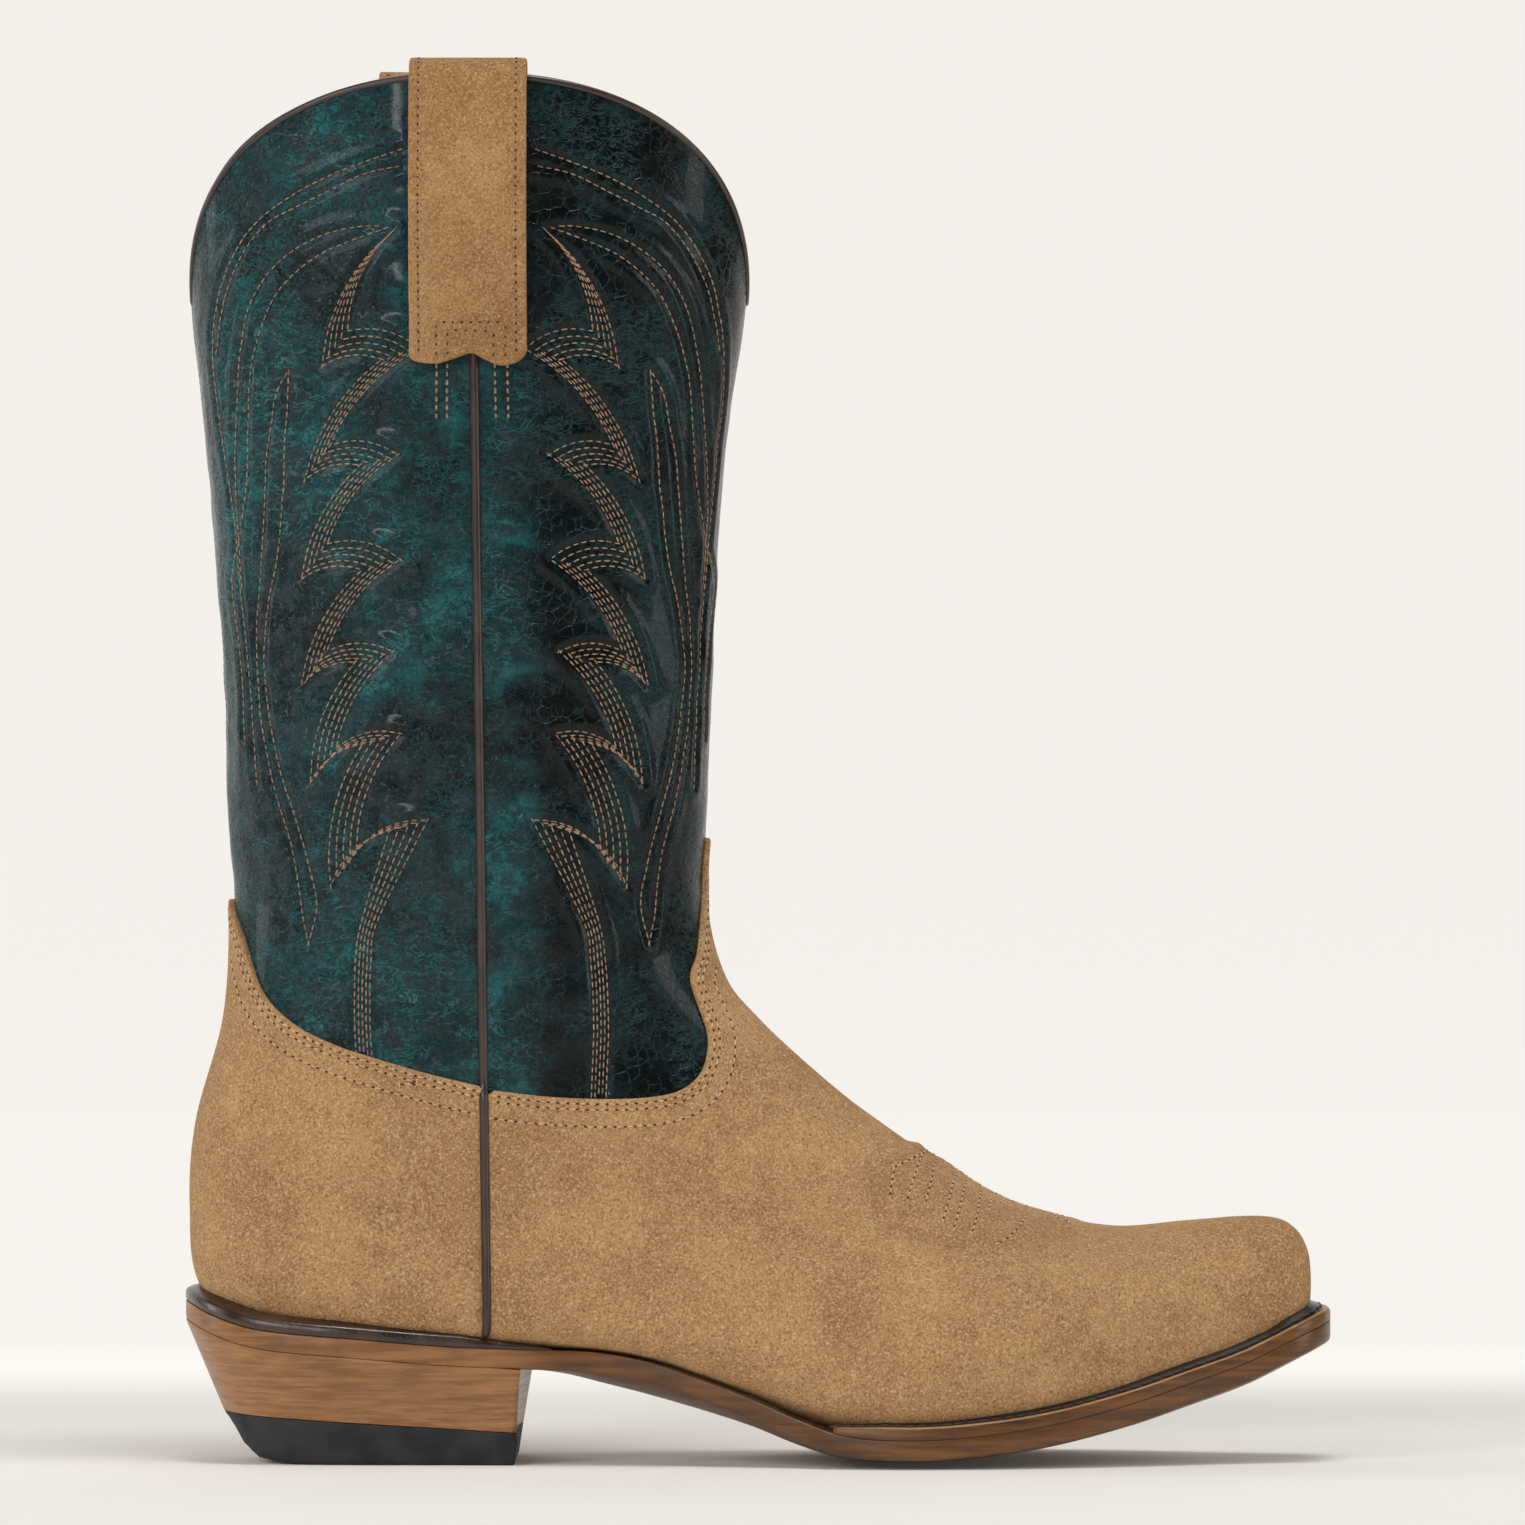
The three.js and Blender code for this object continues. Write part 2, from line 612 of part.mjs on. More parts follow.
// A band along the strap path, lying from one distance off it to another and following the side of the shaft.
function strapBand(side, from, to, width) {
  const path = strapPath().map(([y, z]) => new THREE.Vector3(0, y, z));
  const curve = new THREE.CatmullRomCurve3(path, false, "centripetal");
  const steps = (path.length - 1) * 2;
  const columns = 4;
  const middleX = along(side < 0 ? strapX[0] : strapX[1]);
  const xs = Array.from({ length: columns + 1 }, (_, j) => middleX + (j / columns - 0.5) * width);
  const section = (i) => {
    const m = curve.getPoint(i / steps);
    const t = curve.getTangent(i / steps);
    const at = (x, d) => new THREE.Vector3(x, side * (m.y + t.z * d - sideDrop(x)), m.z - t.y * d);
    return [...xs.map((x) => at(x, from)), ...xs.toReversed().map((x) => at(x, to))];
  };
  const sections = Array.from({ length: steps + 1 }, (_, i) => section(i));
  const middle = (points) => points.reduce((sum, p) => sum.add(p), new THREE.Vector3()).divideScalar(points.length);
  return skin(sections, middle(sections[0]), middle(sections[steps]));
}

function strapPieces(side, name) {
  return {
    [`${name}_pull_strap`]: strapBand(side, strapBacking + gap, strapBacking + gap + strapThickness, strapWidth),
    [`${name}_strap_backing`]: strapBand(side, 0, strapBacking, strapWidth - 5),
  };
}

// ---- Sole and heel ----

const soleOutline = () => planOutline(soleEdge);
const crownAt = (p) => {
  const [outer, inner] = planWidths(p.x / along(1));
  const middle = (across(inner) - across(outer)) / 2;
  const half = (across(inner) + across(outer)) / 2 + soleEdge(p.x / along(1))[0];
  return soleCrown(p.x) * Math.min(((p.y - middle) / half) ** 2, 1);
};
const soleBottom = (p) => soleHeight(p.x) + crownAt(p);
const soleTop = (p) => soleBottom(p) + outsoleThickness;
const lipShare = (inset) => Math.min(inset / 4, 1);

// Everything well inside the feather line: what a welt or rand leaves open in its middle.
const insideFeather = () => prism(planOutline(() => [-5]), floorZ, 90);
const aheadOf = (x) => box([x, -90, floorZ], [farX, 90, 90]);

function outsolePiece() {
  return slab(soleOutline(), [0, 9, 22, 40], soleBottom, soleTop).subtract(sockSolid(footClear));
}

const weltStart = along(18.5);
const randEnd = along(-56);

function weltPiece() {
  const base = (p) => soleTop(p) + gap;
  const top = (p, inset) => base(p) + weltThickness + weltLip * lipShare(inset) * (0.4 + (0.6 * p.x) / tipX);
  return slab(soleOutline(), [0, 4, 14], base, top)
    .intersect(aheadOf(weltStart))
    .subtract(sockSolid(footClear))
    .subtract(insideFeather());
}

function randPiece() {
  const base = (p) => soleTop(p) + gap;
  const fade = (p) => THREE.MathUtils.clamp((randEnd - p.x) / 26, 0.25, 1);
  const top = (p, inset) => base(p) + (randThickness + randLip * lipShare(inset)) * fade(p);
  return slab(soleOutline(), [0, 4, 14], base, top)
    .subtract(aheadOf(randEnd))
    .subtract(sockSolid(footClear))
    .subtract(insideFeather());
}

// Everything lower than the top of the rand, where the piping has to lie flat behind it.
function underRand() {
  const top = (x) => soleHeight(x) + soleCrown(x) + outsoleThickness + randThickness + randLip + 2 * gap;
  return sideBlock([
    [-farX, floorZ],
    [farX, floorZ],
    [farX, top(along(-64))],
    [along(-64), top(along(-64))],
    [along(-96), top(along(-96))],
    [-farX, top(along(-96))],
  ]);
}

const insideFoot = () => sockSolid(insideClear);
const insoleBase = -liningInner + gap;

function insolePieces() {
  const insole = insideFoot().intersect(underSeat(insoleBase + insoleThickness));
  const sockBase = insoleBase + insoleThickness + gap;
  const sockArea = box([-farX, -90, floorZ], [along(-20), 90, 90]);
  const heelSock = insideFoot()
    .intersect(underSeat(sockBase + sockThickness))
    .subtract(underSeat(sockBase))
    .intersect(sockArea);
  return { insole, heel_sock: heelSock };
}

// The space between insole and outsole, inside the turned-in margins: cork under the ball, shank and cover behind it.
function fillerPieces() {
  const outline = bottomOpening(gap);
  const cavity = slab(soleOutline(), [0, 9, 22, 40], (p) => soleTop(p) + 2 * gap, () => 90)
    .intersect(prism(outline, floorZ, 90))
    .intersect(underSeat(insoleBase - gap - gap));
  const shankEnd = along(4);
  const cork = cavity.intersect(aheadOf(shankEnd + gap));
  const rear = cavity.subtract(aheadOf(shankEnd));
  const shankTop = insoleBase - gap - gap;
  const half = across(shankWidth) / 2;
  const shankStart = along(-108);
  const shank = underSeat(shankTop)
    .subtract(underSeat(shankTop - shankThickness))
    .intersect(box([shankStart, -half, floorZ], [shankEnd - 2, half, 90]));
  const shankRoom = box([shankStart - gap, -half - gap, floorZ], [shankEnd + 1, half + gap, 90])
    .subtract(underSeat(shankTop - shankThickness - gap));
  return { cork_filler: cork, shank_cover: rear.subtract(shankRoom), steel_shank: shank };
}

// The stacked heel: one tapered block, sliced into lifts and a rubber cap.
function heelBlock() {
  const outline = soleOutline();
  const reference = along(-100);
  const height = soleHeight(reference);
  const middle = new THREE.Vector2(along(-96), 0);
  const lean = (p, z) => {
    const out = p.clone().sub(middle).normalize();
    const taper = heelTaper[0] + (heelTaper[1] - heelTaper[0]) * Math.max(-out.x, 0) ** 2;
    return p.clone().addScaledVector(out, -taper * (soleHeight(p.x) - z));
  };
  const rear = outline.filter((p) => p.x < along(-55));
  const split = rear.findIndex((p, i) => i > 0 && Math.abs(p.y - rear[i - 1].y) > across(30));
  const ordered = split > 0 ? [...rear.slice(split), ...rear.slice(0, split)] : rear;
  const levels = [height + 14, height, height / 2, 0];
  const rows = levels.map((z) => ordered.map((p) => {
    const q = lean(p, Math.min(z, soleHeight(p.x)));
    return new THREE.Vector3(q.x, q.y, z);
  }));
  const centre = (z) => new THREE.Vector3(along(-90), 0, z);
  return skin(rows, centre(levels[0]), centre(0));
}

const breastX = (z) => along(heelBreast[1]) + ((heelBreast[0] - heelBreast[1]) * z) / soleHeight(along(-66));

// Side-view band of the heel between two shares of its height, 0 at the cap's top and 1 at the outsole.
function heelBand(lowShare, highShare) {
  const stations = Array.from({ length: 12 }, (_, i) => along(-164) + (along(104) * i) / 11);
  const capTop = (x) => capLine(x);
  const top = (x) => soleHeight(x) - gap;
  const at = (x, share) => capTop(x) + share * (top(x) - capTop(x));
  return sideBlock([
    ...stations.map((x) => [x, at(x, lowShare)]),
    ...stations.toReversed().map((x) => [x, at(x, highShare)]),
  ]);
}

function capLine(x) {
  const share = (x - along(-147)) / (along(heelBreast[1]) - along(-147));
  return capHeight[0] + (capHeight[1] - capHeight[0]) * share;
}

const behindBreast = () =>
  sideBlock([[-farX, -1], [breastX(0), -1], [breastX(60), 60], [-farX, 60]]);

const nailPlaces = Array.from({ length: nailCount }, (_, i) => {
  const angle = Math.PI * (0.5 + i / (nailCount - 1));
  return [along(-112) + nailRing * 1.15 * Math.cos(angle), nailRing * Math.sin(angle)];
});

function nailSolid(x, y, radius, low, high) {
  const geometry = new THREE.CylinderGeometry(radius, radius, high - low, 6);
  geometry.rotateX(Math.PI / 2);
  geometry.translate(x, y, (low + high) / 2);
  return toSolid(geometry);
}

const nailLow = 3;
const nailHigh = (x) => soleHeight(x) + outsoleThickness - 1.8;
const nailHoles = () => nailPlaces
  .map(([x, y]) => nailSolid(x, y, nailRadius + gap, nailLow - gap, nailHigh(x) + gap))
  .reduce((all, one) => all.add(one));

function heelPieces() {
  const block = heelBlock().intersect(behindBreast()).subtract(nailHoles());
  const pieces = {};
  for (let i = 0; i < liftCount; i += 1) {
    const clear = gap / (soleHeight(along(-100)) - capLine(along(-100)));
    pieces[`heel_lift_${i + 1}`] = block.intersect(heelBand(i / liftCount + clear, (i + 1) / liftCount));
  }
  const bevel = sideBlock([
    [along(-170), -1],
    [along(-128), -1],
    [along(-128), 0],
    [along(-137), 1.4],
    [along(-141.5), 5],
    [along(-145), 11],
    [along(-170), 20],
  ]);
  const capBand = sideBlock([
    [along(-170), 0],
    [along(-50), 0],
    [along(-50), capLine(along(-50))],
    [along(-170), capLine(along(-170))],
  ]);
  pieces.heel_cap = block.intersect(capBand).subtract(bevel);
  nailPlaces.forEach(([x, y], i) => {
    pieces[`heel_nail_${i + 1}`] = nailSolid(x, y, nailRadius, nailLow, nailHigh(x));
  });
  return pieces;
}

// ---- Wooden pegs through the waist of the sole ----

const pegPlaces = [-1, 1].flatMap((side) =>
  Array.from({ length: pegsPerSide }, (_, i) => {
    const x = along(-50) + (along(46) * i) / (pegsPerSide - 1);
    const half = planWidths(x / along(1))[side < 0 ? 0 : 1];
    return [x, side * (across(half) - lastingMargin - 3)];
  }),
);
const pegLow = (x, y) => soleBottom(new THREE.Vector2(x, y)) + 0.8;
const pegHigh = (x) => seat(x) + insoleBase + insoleThickness - 0.8;
const pegBox = (x, y, extra) =>
  box(
    [x - pegSide / 2 - extra, y - pegSide / 2 - extra, pegLow(x, y) - (extra ? 9 : 0)],
    [x + pegSide / 2 + extra, y + pegSide / 2 + extra, pegHigh(x) + extra],
  );
const pegHoles = () => pegPlaces.map(([x, y]) => pegBox(x, y, gap)).reduce((all, one) => all.add(one));

// ---- Assembly ----

const looks = {
  teal: { color: 0x1b4347, roughness: 0.35, metalness: 0 },
  suede: { color: 0xa57f4f, roughness: 0.95, metalness: 0 },
  lining: { color: 0xc9a77b, roughness: 0.7, metalness: 0 },
  board: { color: 0xb59468, roughness: 0.85, metalness: 0 },
  darkTrim: { color: 0x35261e, roughness: 0.45, metalness: 0 },
  weltBlack: { color: 0x24201e, roughness: 0.55, metalness: 0 },
  soleLeather: { color: 0x7d5733, roughness: 0.45, metalness: 0 },
  rubber: { color: 0x232327, roughness: 0.7, metalness: 0 },
  cork: { color: 0xa98055, roughness: 0.95, metalness: 0 },
  steel: { color: 0x9a9da0, roughness: 0.35, metalness: 1 },
  wood: { color: 0xc79f62, roughness: 0.7, metalness: 0 },
};

const boot = new THREE.Group();

function addPiece(name, solid, look) {
  const mesh = new THREE.Mesh(toGeometry(solid), new THREE.MeshStandardMaterial(looks[look]));
  mesh.name = name;
  boot.add(mesh);
}

const addAll = (pieces, look) => Object.entries(pieces).forEach(([name, solid]) => addPiece(name, solid, look));

const { shaft_front, shaft_back, ...stiffeners } = panelPieces();
addAll({ shaft_front, shaft_back }, "teal");
addAll(stiffeners, "board");
addAll(liningPieces(), "lining");
addAll(suedePieces(), "suede");
addPiece("outer_piping", pipingPiece(-1), "darkTrim");
addPiece("inner_piping", pipingPiece(1), "darkTrim");
addAll(bindingPieces(), "darkTrim");
addAll(strapPieces(-1, "outer"), "suede");
addAll(strapPieces(1, "inner"), "suede");

const pegs = pegHoles();
const { insole, heel_sock } = insolePieces();
addPiece("insole", insole.subtract(pegs), "board");
addPiece("heel_sock", heel_sock, "lining");
const { cork_filler, shank_cover, steel_shank } = fillerPieces();
addPiece("cork_filler", cork_filler, "cork");
addPiece("shank_cover", shank_cover.subtract(pegs), "board");
addPiece("steel_shank", steel_shank, "steel");
addPiece("outsole", outsolePiece().subtract(nailHoles()).subtract(pegs), "soleLeather");
addPiece("welt", weltPiece(), "weltBlack");
addPiece("heel_rand", randPiece(), "darkTrim");
for (const [name, solid] of Object.entries(heelPieces())) {
  const look = name === "heel_cap" ? "rubber" : name.startsWith("heel_nail") ? "steel" : "soleLeather";
  addPiece(name, solid, look);
}
pegPlaces.forEach(([x, y], i) => addPiece(`waist_peg_${i + 1}`, pegBox(x, y, 0), "wood"));

// The origin is the middle of the bounding box, on the floor.
const bounds = new THREE.Box3().setFromObject(boot);
boot.position.set(-(bounds.min.x + bounds.max.x) / 2, -(bounds.min.y + bounds.max.y) / 2, -bounds.min.z);

export default boot;
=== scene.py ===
import math
import bpy
import bmesh
import numpy as np
from mathutils.bvhtree import BVHTree
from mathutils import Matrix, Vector, kdtree, noise
from mathutils.geometry import delaunay_2d_cdt


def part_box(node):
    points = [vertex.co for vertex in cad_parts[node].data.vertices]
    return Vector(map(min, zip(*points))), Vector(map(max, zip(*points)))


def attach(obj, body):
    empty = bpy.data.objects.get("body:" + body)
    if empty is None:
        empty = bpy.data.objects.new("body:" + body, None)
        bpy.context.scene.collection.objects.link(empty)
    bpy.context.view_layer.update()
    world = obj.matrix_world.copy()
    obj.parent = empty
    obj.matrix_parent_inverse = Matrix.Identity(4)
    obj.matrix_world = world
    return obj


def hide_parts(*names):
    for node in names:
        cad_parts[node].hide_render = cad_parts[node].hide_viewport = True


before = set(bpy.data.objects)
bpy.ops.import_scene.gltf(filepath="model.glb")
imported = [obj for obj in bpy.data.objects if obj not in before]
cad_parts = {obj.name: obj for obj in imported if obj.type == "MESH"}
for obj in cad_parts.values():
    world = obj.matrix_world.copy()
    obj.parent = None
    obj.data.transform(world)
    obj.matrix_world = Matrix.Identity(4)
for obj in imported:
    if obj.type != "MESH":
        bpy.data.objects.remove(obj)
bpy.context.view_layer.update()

print("cad loaded", len(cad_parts), "nodes")

# Everything below is drawn in millimetres on the boot's own drawing axes, and moved here onto the frame.
strapLow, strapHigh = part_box("outer_pull_strap")
farLow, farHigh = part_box("inner_pull_strap")
frameShift = np.array([(strapLow.x + strapHigh.x) / 2 + 0.080, (strapLow.y + farHigh.y) / 2, 0.0])


def toFrame(points):
    return np.asarray(points, float) * 0.001 + frameShift


# the last: sole heights, plan and the rings of the boot

def smoothTable(rows):
    table = np.array(rows, float)
    keys, values = table[:, 0], table[:, 1:]
    after = np.minimum(np.arange(len(keys)) + 1, len(keys) - 1)
    before = np.maximum(np.arange(len(keys)) - 1, 0)
    slopes = (values[after] - values[before]) / (keys[after] - keys[before])[:, None]

    def value(x):
        x = np.clip(np.asarray(x, float), keys[0], keys[-1])
        i = np.clip(np.searchsorted(keys, x, side="right") - 1, 0, len(keys) - 2)
        h = keys[i + 1] - keys[i]
        t = ((x - keys[i]) / h)[..., None]
        h = h[..., None]
        return ((2 * t**3 - 3 * t**2 + 1) * values[i] + (t**3 - 2 * t**2 + t) * h * slopes[i]
                + (3 * t**2 - 2 * t**3) * values[i + 1] + (t**3 - t**2) * h * slopes[i + 1])
    return value


# x, height of the sole's underside, crown at its edges
soleRows = smoothTable([
    (-160, 39.5, 0), (-150, 35, 0), (-138, 31.6, 0), (-112, 29.2, 0), (-85, 27, 0), (-68, 26.2, .2), (-55, 24.2, 1.9),
    (-44, 21.4, 4), (-30, 17.8, 5), (-14, 13.2, 4.2), (-2, 9.3, 3.6), (9, 4.9, 3.2), (22, 1, 2.8), (38, .02, 2.5),
    (55, .8, 2.5), (77, 3.8, 2.4), (100, 9.5, 2.2), (116, 14.8, 2), (133, 20.9, 1.8), (149, 29, 1.7), (160, 35.5, 1.6)])
soleHeight = lambda x: soleRows(x)[..., 0]
soleCrown = lambda x: soleRows(x)[..., 1]
seatHeight = lambda x: soleHeight(x) + soleCrown(x) + 7.1

# x, half width outside, half width inside, at the feather line
planRows = [
    (-148, 15, 15), (-138, 24.5, 24.5), (-122, 29, 29), (-95, 29, 28.5), (-70, 28.5, 27.5), (-45, 29.5, 26.5),
    (-20, 34, 28.5), (0, 38.5, 32), (20, 42.5, 37.5), (40, 44.5, 42.5), (60, 43, 44), (80, 38, 40.5), (100, 30.5, 34),
    (120, 22, 25.5), (135, 16, 19), (143, 13, 16)]
planWidths = smoothTable(planRows)
soleEdge = smoothTable([
    (-155, 6.2), (-125, 4.2), (-64, 3.6), (-48, .4), (-30, -1), (-6, -.6), (12, 3), (20, 5.4), (60, 6.2), (135, 6.5),
    (148, 8.6)])

# back x, back z (None on the seat), front x, front z, half widths out and in, where widest, squareness front and back
ringRows = [
    (-158, 390, -1, 390, 39, 39, .5, 2.3, 2.3), (-157.5, 345, -3, 345, 39, 39, .5, 2.3, 2.3),
    (-156.2, 316, -5, 316, 38.5, 38.5, .5, 2.3, 2.3), (-153.3, 285, -9.6, 285, 37.5, 37.5, .5, 2.3, 2.3),
    (-150.2, 250, -12.6, 250, 36.5, 36.5, .5, 2.3, 2.3), (-147.6, 212, -14.3, 212, 36, 36, .5, 2.3, 2.3),
    (-146.5, 175, -15.6, 178, 35, 35, .5, 2.3, 2.3), (-144.9, 148, -16.7, 151, 34, 34, .5, 2.2, 2.2),
    (-146.6, 121, -11.5, 131.5, 33, 33, .47, 2.2, 2.2), (-154, 93, -2, 119.7, 32.5, 32.5, .4, 2.2, 2.2),
    (-155.6, 70, 10, 108.4, 32, 32, .34, 2.2, 2.2), (-152.4, 48, 22, 98.2, 32, 32, .29, 2.2, 2.5),
    (-136, None, 30, 92.3, 32, 31.5, .28, 2.2, 3.3), (-112, None, 36, 88, 32, 31, .28, 2.2, 4.6),
    (-80, None, 41.5, 84.1, 32.5, 31, .29, 2.1, 5.2), (-40, None, 49, 79.2, 35, 32.5, .3, 2.1, 5.5),
    (0, None, 58, 73.9, 41.5, 37.5, .3, 2, 5.5), (40, None, 72.5, 67.4, 46.5, 44, .3, 2, 5.5),
    (80, None, 96, 62.5, 38.5, 40.5, .33, 2.1, 5.5), (112, None, 118, 64, 25, 28.5, .38, 2.4, 5.5),
    (133, None, 134, 65.1, 17, 20, .42, 2.8, 5), (142, None, 142, 64.3, 14, 16.8, .45, 3, 4.6),
    (146, None, 145.8, 61.6, 12, 14.4, .47, 3, 4), (148, 40.5, 148, 57.2, 9.4, 11.4, .5, 3, 3.2),
    (148.7, 45, 148.7, 52.5, 4.6, 6.4, .5, 2.6, 2.6), (148.85, 48.7, 148.85, 48.9, .1, .1, .5, 2.4, 2.4)]
ringPlaced = np.array([[r[0], 0 if r[1] is None else r[1] - float(seatHeight(r[0])), *r[2:]] for r in ringRows])


def ringDistances():
    back = np.stack([ringPlaced[:, 0], ringPlaced[:, 1] + seatHeight(ringPlaced[:, 0])], 1)
    front = ringPlaced[:, 2:4]
    steps = (np.linalg.norm(np.diff(back, axis=0), axis=1) + np.linalg.norm(np.diff(front, axis=0), axis=1)) / 2
    return np.concatenate([[0], np.cumsum(steps)])


ringKeys = ringDistances()
ringAt = smoothTable(np.column_stack([ringKeys, ringPlaced]))
keyOf = lambda ring: float(np.interp(ring, np.arange(len(ringKeys)), ringKeys))


def turnOf(q):  # q runs 0 at the front, 1 at the side, 2 at the back, slowest at the corners
    quarter = np.clip(np.floor(q), 0, 1)
    w = q - quarter
    return (quarter + w**3 / (w**3 + (1 - w)**3)) * math.pi / 2


def ringPoint(u, q, outside):
    bx, rise, fx, fz, wo, wi, widest, frontSquare, backSquare = np.moveaxis(ringAt(u), -1, 0)
    bz = seatHeight(bx) + rise
    turn = turnOf(q)
    c, s = np.cos(turn), np.abs(np.sin(turn))
    square = np.where(q <= 1, frontSquare, backSquare)
    reach = np.abs(c) ** (2 / square)
    share = np.where(q <= 1, widest + (1 - widest) * reach, widest - widest * reach)
    y = np.where(outside, -wo, wi) * s ** (2 / square)
    return np.stack([bx + share * (fx - bx), y, bz + share * (fz - bz)], -1)


# Girths: how far round each ring a point lies, so that panels can be laid out in true millimetres.
girthKeys = np.unique(np.concatenate([np.linspace(0, ringKeys[-1], 420), ringKeys]))
girthSteps = np.linspace(0, 2, 801)


def girthTable(outside):
    u, q = np.meshgrid(girthKeys, girthSteps, indexing="ij")
    points = ringPoint(u, q, outside)
    arcs = np.concatenate([np.zeros((len(girthKeys), 1)),
                           np.cumsum(np.linalg.norm(np.diff(points, axis=1), axis=2), axis=1)], 1)
    shares = np.linspace(0, 1, 601)
    back = np.array([np.interp(shares * row[-1], row, girthSteps) for row in arcs])
    return arcs, back, points


girths = {True: girthTable(True), False: girthTable(False)}


def between(table, rows, columns):
    i = np.clip(rows.astype(int), 0, table.shape[0] - 2)
    j = np.clip(columns.astype(int), 0, table.shape[1] - 2)
    a, b = rows - i, columns - j
    return ((1 - a) * (1 - b) * table[i, j] + a * (1 - b) * table[i + 1, j]
            + (1 - a) * b * table[i, j + 1] + a * b * table[i + 1, j + 1])


rowOf = lambda u: np.interp(u, girthKeys, np.arange(len(girthKeys)))
halfGirth = lambda u, outside: np.interp(u, girthKeys, girths[outside][0][:, -1])


def onSurface(s, u):  # s: millimetres round from the front line, positive on the outside
    s, u = np.broadcast_arrays(np.asarray(s, float), np.asarray(u, float))
    u = np.clip(u, 0, ringKeys[-1])
    outside = s >= 0
    points = np.empty(s.shape + (3,))
    for side in (True, False):
        pick = outside == side
        if not pick.any():
            continue
        rows = rowOf(u[pick])
        share = np.clip(np.abs(s[pick]) / np.maximum(halfGirth(u[pick], side), 1e-6), 0, 1)
        q = between(girths[side][1], rows, share * 600)
        points[pick] = ringPoint(u[pick], q, side)
    return points


def offSurface(s, u, lift, step=.35):
    s, u = np.broadcast_arrays(np.asarray(s, float), np.asarray(u, float))
    end = ringKeys[-1] - .05
    mid = np.clip(u, step, end - step)
    around = onSurface(s + step, u) - onSurface(s - step, u)
    along = onSurface(s, mid + step) - onSurface(s, mid - step)
    normal = np.cross(around, along)
    normal /= np.maximum(np.linalg.norm(normal, axis=-1, keepdims=True), 1e-9)
    ahead = np.clip((np.asarray(u, float) - ringKeys[-1] + 4) / 3, 0, 1)[..., None]  # the rings close on the toe's tip
    normal = normal * (1 - ahead) + np.array([1.0, 0, 0]) * ahead
    normal /= np.linalg.norm(normal, axis=-1, keepdims=True)
    return onSurface(s, u) + normal * np.asarray(lift, float)[..., None], normal


fromBack = lambda r, u: np.where(r >= 0, halfGirth(u, True) - r, -(halfGirth(u, False) + r))


def seamTable(outside):  # distance round to the side seam, for each ring that it crosses
    points = girths[outside][2]
    lean, twist = math.radians(.9), math.radians(6.5)
    ahead = ((points[..., 0] + 78) * math.cos(twist) * math.cos(lean) + points[..., 1] * math.sin(twist)
             + points[..., 2] * math.cos(twist) * math.sin(lean))
    found = []
    for i, row in enumerate(ahead):
        crossing = np.nonzero((row[:-1] > 0) & (row[1:] <= 0))[0]
        if len(crossing):
            j = crossing[0]
            arcs = girths[outside][0][i]
            found.append((girthKeys[i], arcs[j] + (arcs[j + 1] - arcs[j]) * row[j] / (row[j] - row[j + 1])))
    return np.array(found)


seams = {True: seamTable(True), False: seamTable(False)}
seamRound = lambda u, outside: np.interp(u, seams[outside][:, 0], seams[outside][:, 1])
seamEndKey = min(seams[True][-1, 0], seams[False][-1, 0])


def fromSideView(line, outside, reach=.9995):  # side view x and z onto the surface, as distances round and along
    frontRow = ringAt(girthKeys)
    back = np.stack([frontRow[:, 0], seatHeight(frontRow[:, 0]) + frontRow[:, 1]], 1)
    front = frontRow[:, 2:4]
    placed = []
    for x, z in line:
        d = front - back
        cross = d[:, 0] * (z - back[:, 1]) - d[:, 1] * (x - back[:, 0])
        share = ((x - back[:, 0]) * d[:, 0] + (z - back[:, 1]) * d[:, 1]) / np.maximum((d**2).sum(1), 1e-9)
        hits = np.nonzero((cross[:-1] * cross[1:] <= 0) & (np.abs(share[:-1] - .5) < .75))[0]
        i = hits[0] if len(hits) else int(np.argmin(np.abs(cross)))
        i = min(i, len(girthKeys) - 2)
        a = cross[i] / (cross[i] - cross[i + 1]) if cross[i] != cross[i + 1] else 0
        u = girthKeys[i] + a * (girthKeys[i + 1] - girthKeys[i])
        part = share[i] + a * (share[i + 1] - share[i])
        ring = ringAt(u)
        widest, frontSquare, backSquare = ring[6], ring[7], ring[8]
        part = min(max(part, 1 - reach), reach)
        if part > widest:
            c = ((part - widest) / (1 - widest)) ** (frontSquare / 2)
        else:
            c = -((widest - part) / widest) ** (backSquare / 2)
        q = np.interp(math.acos(min(max(c, -1), 1)), turnOf(girthSteps), girthSteps)
        s = between(girths[outside][0], rowOf(np.array([u])), np.array([q * 400]))[0]
        placed.append((s if outside else -s, u))
    return np.array(placed)


def curveThrough(points, step=.6):  # even points on a smooth line through the given ones
    p = np.asarray(points, float)
    if len(p) == 2:
        count = max(int(np.linalg.norm(p[1] - p[0]) / step), 1)
        return p[0] + (p[1] - p[0]) * np.linspace(0, 1, count + 1)[:, None]
    lengths = np.concatenate([[0], np.cumsum(np.linalg.norm(np.diff(p, axis=0), axis=1) ** .5)])
    line = smoothTable(np.column_stack([lengths, p]))(np.linspace(0, lengths[-1], 60 * len(p)))
    arc = np.concatenate([[0], np.cumsum(np.linalg.norm(np.diff(line, axis=0), axis=1))])
    even = np.linspace(0, arc[-1], max(int(arc[-1] / step), 2) + 1)
    return np.stack([np.interp(even, arc, line[:, k]) for k in range(p.shape[1])], 1)


print("last drawn")

# materials

def linear(hexColour):
    parts = [int(hexColour[i:i + 2], 16) / 255 for i in (1, 3, 5)]
    return tuple(c / 12.92 if c <= .04045 else ((c + .055) / 1.055) ** 2.4 for c in parts) + (1,)


